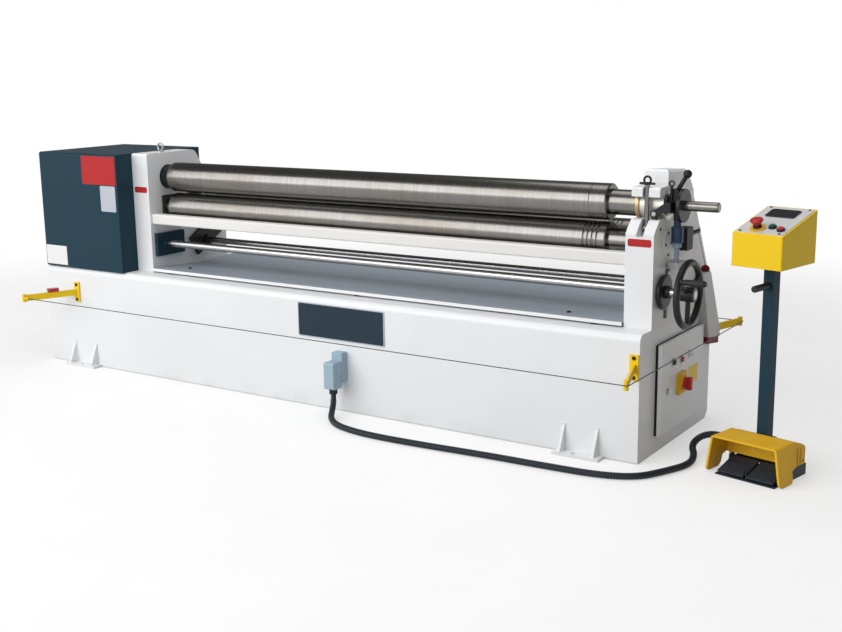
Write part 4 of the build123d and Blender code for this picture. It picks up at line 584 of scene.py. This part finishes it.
# %% Places on the console
CONSOLE_TURN = math.radians(12.0)
CONSOLE_ORIGIN = Vector((2.146, -0.3537, 0.0))
CONSOLE_U = Vector((math.cos(CONSOLE_TURN), -math.sin(CONSOLE_TURN), 0.0))
CONSOLE_V = Vector((math.sin(CONSOLE_TURN), math.cos(CONSOLE_TURN), 0.0))
PANEL_TILT = math.atan2(76.0, 257.0)
PANEL_CENTRE = CONSOLE_ORIGIN - 0.028 * CONSOLE_U + 0.1935 * CONSOLE_V + Vector((0.0, 0.0, 0.975))
PANEL_S = math.cos(PANEL_TILT) * CONSOLE_V + Vector((0.0, 0.0, math.sin(PANEL_TILT)))
PANEL_N = CONSOLE_U.cross(PANEL_S)


def console_uv(point):
    offset = point - CONSOLE_ORIGIN
    return offset.dot(CONSOLE_U), offset.dot(CONSOLE_V)


def panel_usn(point):
    """Right, up the slope and out of the panel."""
    offset = point - PANEL_CENTRE
    return offset.dot(CONSOLE_U), offset.dot(PANEL_S), offset.dot(PANEL_N)


# %% Faces with a finish of their own
RIGHT_END = 1.725
DOOR_FACE = RIGHT_END + 0.026
DOOR_ROW_Z, DOOR_LAMP_Y = 0.31, 0.04
PANEL_FACE = 0.0032
SCREW_U, SCREW_S, SCREW_R = 0.0805, 0.116, 0.006
DISPLAY_HALF, DISPLAY_FOOT, DISPLAY_HEAD = 0.062, 0.026, 0.098
BUTTONS_END = -0.04


def in_display(point):
    u, s, n = panel_usn(point)
    return n > PANEL_FACE and abs(u) < DISPLAY_HALF and DISPLAY_FOOT < s < DISPLAY_HEAD


def on_panel_screw(point):
    u, s, n = panel_usn(point)
    return n > PANEL_FACE and abs(abs(u) - SCREW_U) < SCREW_R and abs(abs(s) - SCREW_S) < SCREW_R


def on_button_ring(point):
    u, s, n = panel_usn(point)
    return n > PANEL_FACE and s < BUTTONS_END


def on_switch_ring(point):
    return point.z > DOOR_ROW_Z and point.y < DOOR_LAMP_Y


def on_lamp(point):
    return point.z > DOOR_ROW_Z and point.y > DOOR_LAMP_Y


refinish("console_panel", display_glass, in_display)
refinish("console_panel", black_screw, on_panel_screw)
refinish("console_panel", black_plastic, on_button_ring)
refinish("estop_base", black_plastic, lambda p: panel_usn(p)[2] > 0.0072)
refinish("console_post", black_plastic, lambda p: console_uv(p)[1] < 0.166 and p.z > 0.6)
refinish("door_fittings", bright_steel, on_switch_ring)
refinish("door_fittings", white_plastic, on_lamp)
refinish("main_switch_handle", black_plastic, lambda p: p.x < DOOR_FACE + 0.0215)
refinish("safety_switches", red_plastic, lambda p: p.x < 0.0)
refinish("safety_switches", bright_steel, lambda p: p.y > 0.135)
refinish("frame_plates", black_screw, lambda p: p.x > RIGHT_END + 0.0041)
refinish("frame_plates", teal_paint, lambda p: 0.72 < p.z < 0.775)
refinish("frame_plates", black_iron, lambda p: p.z < 0.60)
refinish("lift_cylinder", pale_blue, lambda p: p.z < 0.862)
refinish("lift_cylinder", grey_paint, lambda p: p.z < 0.781)
refinish("tail_yoke", bright_steel, lambda p: p.y < -0.2121)
refinish("right_bush", bronze, lambda p: p.x < 1.6225)
refinish("shaft_brackets", black_iron, lambda p: p.y > -0.0595)
refinish("chip_tray", white_paint, lambda p: p.y < -0.287)
# painted shadow: the faces under the tray's front lip are made black, for the shade gap under the lip
refinish("chip_tray", black_screw, lambda p: p.y < -0.27 and p.z < 0.5335)
refinish("connector_hood", black_plastic, lambda p: p.z < 0.127)

conduit.data.materials.append(conduit_plastic)

# %% [markdown]
# Bare plates: the machine carries a few thin plates on its cover, its uprights and its door. Each is a
# rounded rectangle with a softened front edge, 1.2 mm thick, flat on the sheet behind it.

# %% Bare plates
PLATE_THICK = 0.0012
PLATE_EDGE = 0.0004


def rounded_outline(width, height, radius, steps=6):
    """(right, up) points round a rectangle with round corners."""
    outline = []
    corners = ((1, 1, 0), (-1, 1, 90), (-1, -1, 180), (1, -1, 270))
    for side, level, start in corners:
        for k in range(steps + 1):
            turn = math.radians(start + 90 * k / steps)
            x = side * (width / 2 - radius) + radius * math.cos(turn)
            y = level * (height / 2 - radius) + radius * math.sin(turn)
            outline.append((x, y))
    return outline


ALONG_X = Vector((1.0, 0.0, 0.0))
ALONG_Y = Vector((0.0, 1.0, 0.0))
ALONG_Z = Vector((0.0, 0.0, 1.0))
BED_FRONT = -0.388
UPRIGHT_FRONT = -0.278


def bare_plate(name, centre, right_way, width, height, radius, finish):
    """A blank plate on an upright face, from its back to its softened front."""
    out_way = right_way.cross(ALONG_Z)
    rings = []
    for shrink, lift in ((0.0, 0.0), (0.0, PLATE_THICK - PLATE_EDGE), (PLATE_EDGE, PLATE_THICK)):
        outline = rounded_outline(width - 2 * shrink, height - 2 * shrink, radius)
        rings.append([centre + x * right_way + y * ALONG_Z + lift * out_way for x, y in outline])
    piece = skins(name, [rings], 30.0)
    piece.data.materials.append(finish)
    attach(piece, "machine")


def front_plate(name, x0, x1, z0, z1, radius, finish, face=BED_FRONT):
    """A blank plate on a face that looks to the front."""
    centre = Vector(((x0 + x1) / 2, face, (z0 + z1) / 2))
    bare_plate(name, centre, ALONG_X, x1 - x0, z1 - z0, radius, finish)


front_plate("cover_plate_red", -1.395, -1.148, 0.978, 1.124, 0.003, red_sheet)
front_plate("cover_plate_silver", -1.266, -1.156, 0.842, 0.974, 0.008, silver_sheet)
front_plate("cover_plate_white", -1.716, -1.556, 0.536, 0.638, 0.002, white_sheet)
for name, x0, x1, z0, z1 in (
    ("left_upright_plate", -1.128, -1.041, 0.936, 0.966),
    ("right_upright_plate", 1.615, 1.715, 0.857, 0.887),
):
    front_plate(name, x0, x1, z0, z1, 0.008, red_sheet, UPRIGHT_FRONT)

door_place = Vector((DOOR_FACE, 0.125, 0.262))
bare_plate("door_plate_yellow", door_place, ALONG_Y, 0.100, 0.075, 0.003, yellow_sheet)
print("bare plates made")

# %% [markdown]
# The dark panel on the bed has a thin bright rim. Four bars would show joints at the corners, so the
# rim is one ring of quads: an outer and an inner outline, raised and joined.

# %% Rim of the dark panel
RIM_WIDTH = 0.004
RIM_LIFT = 0.0042
RIM_EDGE = 0.0005
RIM_CORNER = 0.006
RIM_INNER_FOOT = 0.0025
panel_low, panel_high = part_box("name_panel")
panel_centre = (panel_low + panel_high) / 2
panel_width = panel_high.x - panel_low.x
panel_height = panel_high.z - panel_low.z


def rim_ring(shrink, lift):
    outline = rounded_outline(panel_width - 2 * shrink, panel_height - 2 * shrink, RIM_CORNER)
    return [Vector((panel_centre.x + x, BED_FRONT - lift, panel_centre.z + z)) for x, z in outline]


rim_rings = [
    rim_ring(-RIM_EDGE, 0.0),
    rim_ring(-RIM_EDGE, RIM_LIFT - RIM_EDGE),
    rim_ring(0.0, RIM_LIFT),
    rim_ring(RIM_WIDTH - RIM_EDGE, RIM_LIFT),
    rim_ring(RIM_WIDTH, RIM_LIFT - RIM_EDGE),
    rim_ring(RIM_WIDTH, RIM_INNER_FOOT),
]
rim_points = [point for ring in rim_rings for point in ring]
ring_size = len(rim_rings[0])
rim_faces = []
for level in range(len(rim_rings)):
    low = level * ring_size
    high = (level + 1) % len(rim_rings) * ring_size
    for k in range(ring_size):
        following = (k + 1) % ring_size
        rim_faces.append((low + k, low + following, high + following, high + k))
panel_rim = link_mesh("name_panel_rim", rim_points, rim_faces, 30.0)
panel_rim.data.materials.append(silver_sheet)
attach(panel_rim, "machine")
print("rim:", round(panel_width, 3), "by", round(panel_height, 3))

# %% [markdown]
# Screws of the tray and bolts of the arms are plain cylinders in the solid model. Real ones are
# button heads with a hexagon socket, and the lifting eye is a bright forged ring on a collar. They are
# turned here from rings: up the outside, over the dome, in across the rim and down into the socket.

# %% Button heads and the lifting eye
HEAD_SIDES = 24
SOCKET_SHARE = 0.46
SOCKET_FLOOR = 0.35


def hexagon(centre, across, along, radius, count):
    """A hexagon's outline with as many points as the circles around it."""
    points = []
    for k in range(count):
        turn = 2 * math.pi * k / count
        reach = radius * math.cos(math.pi / 6) / math.cos(turn % (math.pi / 3) - math.pi / 6)
        points.append(centre + reach * (math.cos(turn) * across + math.sin(turn) * along))
    return points


def button_head(base, outward, radius, height):
    """Rings of a domed head with a hexagon socket."""
    across = outward.orthogonal().normalized()
    along = outward.cross(across)
    profile = ((0.90, 0.0), (1.0, 0.08), (1.0, 0.35), (0.93, 0.65), (0.78, 0.88), (0.62, 0.98), (0.52, 1.0))
    rings = [circle(base + z * height * outward, across, along, r * radius, HEAD_SIDES) for r, z in profile]
    for z in (1.0, SOCKET_FLOOR):
        rings.append(hexagon(base + z * height * outward, across, along, SOCKET_SHARE * radius, HEAD_SIDES))
    return rings


ARM_PLACES = (1.704, -1.494)
ARM_FACE = 0.396
BOLT_LEVELS = (0.358, 0.437)
BOLT_R, SCREW_HEAD_R, HEAD_HEIGHT = 0.008, 0.010, 0.006
head_stacks = []
for arm_x in ARM_PLACES:
    for side in (-1, 1):
        for bolt_z in BOLT_LEVELS:
            base = Vector((arm_x, side * ARM_FACE, bolt_z))
            head_stacks.append(button_head(base, side * ALONG_Y, BOLT_R, HEAD_HEIGHT))
TRAY_SCREWS = ((-0.871, -0.174), (1.322, -0.198))
TRAY_LIP_Y, TRAY_LIP_Z = -0.291, 0.549
TRAY_FOLD_Y, TRAY_FOLD_Z = 0.055, 0.530
tray_slope = (TRAY_FOLD_Z - TRAY_LIP_Z) / (TRAY_FOLD_Y - TRAY_LIP_Y)
for x, y in TRAY_SCREWS:
    tray_z = TRAY_LIP_Z + tray_slope * (y - TRAY_LIP_Y)
    head_stacks.append(button_head(Vector((x, y, tray_z)), ALONG_Z, SCREW_HEAD_R, HEAD_HEIGHT))

EYE_X, EYE_Y, EYE_FOOT = -1.075, -0.133, 1.135
EYE_RING, EYE_BAR, EYE_CENTRE = 0.017, 0.005, 1.161
collar_profile = ((0.017, 0.0), (0.017, 0.007), (0.0155, 0.009), (0.009, 0.0105), (0.006, 0.0125))
collar = []
for radius, z in collar_profile:
    collar.append(circle(Vector((EYE_X, EYE_Y, EYE_FOOT + z)), ALONG_X, ALONG_Y, radius, HEAD_SIDES))
head_stacks.append(collar)
screw_points, screw_faces = [], []
for rings in head_stacks:
    screw_faces += skin_faces(rings, len(screw_points))
    screw_points += [point for ring in rings for point in ring]
eye_first = len(screw_points)
EYE_STEPS, EYE_SIDES = 40, 16
for k in range(EYE_STEPS):
    turn = 2 * math.pi * k / EYE_STEPS
    outward = math.cos(turn) * ALONG_X + math.sin(turn) * ALONG_Z
    centre = Vector((EYE_X, EYE_Y, EYE_CENTRE)) + EYE_RING * outward
    screw_points += circle(centre, outward, ALONG_Y, EYE_BAR, EYE_SIDES)
for k in range(EYE_STEPS):
    low = eye_first + k * EYE_SIDES
    high = eye_first + (k + 1) % EYE_STEPS * EYE_SIDES
    for j in range(EYE_SIDES):
        following = (j + 1) % EYE_SIDES
        screw_faces.append((low + j, high + j, high + following, low + following))
machine_screws = link_mesh("machine_screws", screw_points, screw_faces)
machine_screws.data.materials.append(black_screw)
machine_screws.data.materials.append(bright_steel)
for polygon in machine_screws.data.polygons:
    if polygon.center.z > EYE_FOOT:
        polygon.material_index = 1
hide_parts("fixed_screws")
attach(machine_screws, "machine")
print("heads:", len(head_stacks))

# %% [markdown]
# Two small screws hold the foot switch's yellow housing on its base, at the side. They are the same
# button heads, set in the console's own directions.

# %% Screws of the foot switch
HOUSING_SIDE = 0.125
HOUSING_DEPTHS = (0.1395, 0.216)
HOUSING_SCREW_Z = 0.058
HOUSING_HEAD_R, HOUSING_HEAD_HEIGHT = 0.004, 0.0025
housing_heads = []
for v in HOUSING_DEPTHS:
    base = CONSOLE_ORIGIN + HOUSING_SIDE * CONSOLE_U + v * CONSOLE_V + HOUSING_SCREW_Z * ALONG_Z
    housing_heads.append(button_head(base, CONSOLE_U, HOUSING_HEAD_R, HOUSING_HEAD_HEIGHT))
housing_screws = skins("housing_screws", housing_heads)
housing_screws.data.materials.append(black_screw)
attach(housing_screws, "machine")
print("housing screws:", len(housing_heads))

# %% [markdown]
# The feet are welded to the bed. A weld bead is a row of overlapping ripples in the corner between two
# plates, so each bead here is a tube whose radius and middle wander a little from ripple to ripple.

# %% Weld beads at the feet
random.seed(7)
BEAD_R = 0.0042
BEAD_RIPPLE = 0.0042
BEAD_SIDES = 10
BEAD_WANDER = 0.0003
BEAD_GAP = 0.0005
BEAD_REACH = 0.045
FOOT_SPANS = ((-1.570, -1.350), (1.370, 1.580))
FOOT_TOP = 0.012
GUSSET_INSET = 0.025
GUSSET_THICK = 0.010
GUSSET_TOP = 0.125


def weld_bead(start, end):
    """Rings of a rippled bead between two points."""
    run = end - start
    direction = run.normalized()
    across = direction.orthogonal().normalized()
    along = direction.cross(across)
    count = max(4, round(run.length / BEAD_RIPPLE))
    rings = [circle(start, across, along, 0.3 * BEAD_R, BEAD_SIDES)]
    for k in range(count):
        for share, size in ((0.2, 0.82), (0.6, 1.0)):
            wander = Vector([random.uniform(-BEAD_WANDER, BEAD_WANDER) for _ in range(3)])
            radius = BEAD_R * size * random.uniform(0.92, 1.05)
            middle = start + (k + share) / count * run + wander
            rings.append(circle(middle, across, along, radius, BEAD_SIDES))
    rings.append(circle(end, across, along, 0.3 * BEAD_R, BEAD_SIDES))
    return rings


bead_stacks = []
for foot_left, foot_right in FOOT_SPANS:
    for gusset in (foot_left + GUSSET_INSET, foot_right - GUSSET_INSET - GUSSET_THICK):
        for edge_x in (gusset - BEAD_GAP, gusset + GUSSET_THICK + BEAD_GAP):
            corner = Vector((edge_x, BED_FRONT - BEAD_GAP, FOOT_TOP + BEAD_GAP))
            wall_end = Vector((edge_x, BED_FRONT - BEAD_GAP, GUSSET_TOP))
            foot_end = Vector((edge_x, BED_FRONT - BEAD_REACH, FOOT_TOP + BEAD_GAP))
            bead_stacks.append(weld_bead(corner, wall_end))
            bead_stacks.append(weld_bead(corner, foot_end))
weld_beads = skins("foot_welds", bead_stacks, 60.0)
weld_beads.data.materials.append(white_paint)
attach(weld_beads, "machine")
print("beads:", len(bead_stacks))

# %% [markdown]
# The floor is pale and plain, lit like a studio sweep. It is white to the eye far from the machine and
# keeps the soft shadow near it. For light that bounces it is a mid grey, so that it does not light the
# machine from below more than a real floor would.

# %% Floor
FLOOR_CENTRE = Vector((0.3, 0.0, 0.0))
FLOOR_R = 60.0
FLOOR_SIDES = 64
NEAR_GLOW = 0.45
BOUNCE_GREY = (0.44, 0.44, 0.44, 1.0)


def ray_kinds(start):
    """Three masks: rays from the camera, rays off a mirror and rays through glass."""
    return [start.node("LightPath", output=k) for k in (0, 3, 6)]


floor_points = circle(FLOOR_CENTRE, ALONG_X, ALONG_Y, FLOOR_R, FLOOR_SIDES)
floor = link_mesh("floor", floor_points, [tuple(range(FLOOR_SIDES))])
floor_material = bpy.data.materials.new("studio_floor")
floor_material.use_nodes = True
floor_material.node_tree.nodes.clear()
start = Tone(floor_material.node_tree)
place = start.node("TexCoord", output=3)
seen, mirrored, through = ray_kinds(start)
looked_at = start.math("MAXIMUM", start.math("MAXIMUM", seen, mirrored), through)
distance = place.node("VectorMath", {"operation": "LENGTH"}, {0: place}, output=1)
far = (NEAR_GLOW + (1 - NEAR_GLOW) * distance.rise(2.6, 5.5)) * looked_at
mottle = place.noise(3.0, 3.0).rise(0.3, 0.7)
near_colour = mottle.paint((0.90, 0.90, 0.90, 1.0), (0.93, 0.93, 0.93, 1.0))
floor_colour = looked_at.paint(BOUNCE_GREY, near_colour)
matt = start.node("BsdfDiffuse", None, {"Color": floor_colour})
glow = start.node("Emission", None, {"Color": (1.0, 1.0, 1.0, 1.0), "Strength": 1.0})
sweep = start.node("MixShader", None, {0: far, 1: matt, 2: glow})
start.node("OutputMaterial", None, {"Surface": sweep})
floor.data.materials.append(floor_material)
floor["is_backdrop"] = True
print("floor made")

# %% [markdown]
# One large soft box stands to the left of the camera, low enough that the rolls mirror it as a long
# band. A weaker one hangs overhead. The world is white to the eye. A mirror sees it bright where it is
# level and in front, dimmer behind and dark towards the ceiling. For all other light it is an even grey.

# %% Light
def soft_box(name, place, target, width, height, watts):
    data = bpy.data.lights.new(name, "AREA")
    data.shape = "RECTANGLE"
    data.size = width
    data.size_y = height
    data.energy = watts
    lamp = bpy.data.objects.new(name, data)
    lamp.location = place
    lamp.rotation_mode = "QUATERNION"
    lamp.rotation_quaternion = (Vector(target) - Vector(place)).to_track_quat("-Z", "Y")
    bpy.context.scene.collection.objects.link(lamp)


soft_box("front_box", (-2.8, -7.2, 4.2), (0.0, 0.0, 0.7), 10.5, 6.0, 680.0)
soft_box("ceiling_box", (0.9, 0.2, 5.2), (0.5, 0.0, 0.5), 5.0, 3.0, 85.0)

world = bpy.data.worlds.new("studio")
world.use_nodes = True
world.node_tree.nodes.clear()
start = Tone(world.node_tree)
direction = start.node("TexCoord", output=0)
level = direction.axis("Z")
front_side = (0.0 - direction.axis("Y")).rise(-0.2, 0.4)
seen, mirrored, through = ray_kinds(start)
AMBIENT = 0.40
CEILING = 0.12
BACK_WALL = 0.35
wall = (1 - level.rise(0.08, 0.35)) * (BACK_WALL + (1 - BACK_WALL) * front_side)
mirror_light = CEILING + (1 - CEILING) * wall
strength = AMBIENT + (mirror_light - AMBIENT) * mirrored
open_sky = start.math("MAXIMUM", seen, through)
strength = strength + (1 - strength) * open_sky
sky = start.node("Background", None, {"Color": (1.0, 1.0, 1.0, 1.0), "Strength": strength})
start.node("OutputWorld", None, {"Surface": sky})
bpy.context.scene.world = world
bpy.context.scene.view_settings.view_transform = "Standard"
print("light made")

# %% [markdown]
# Last, the size of the dressed model is printed.

# %% Sizes and finish
low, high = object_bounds()
print("sizes:", [round(x, 4) for x in (*low, *high)])
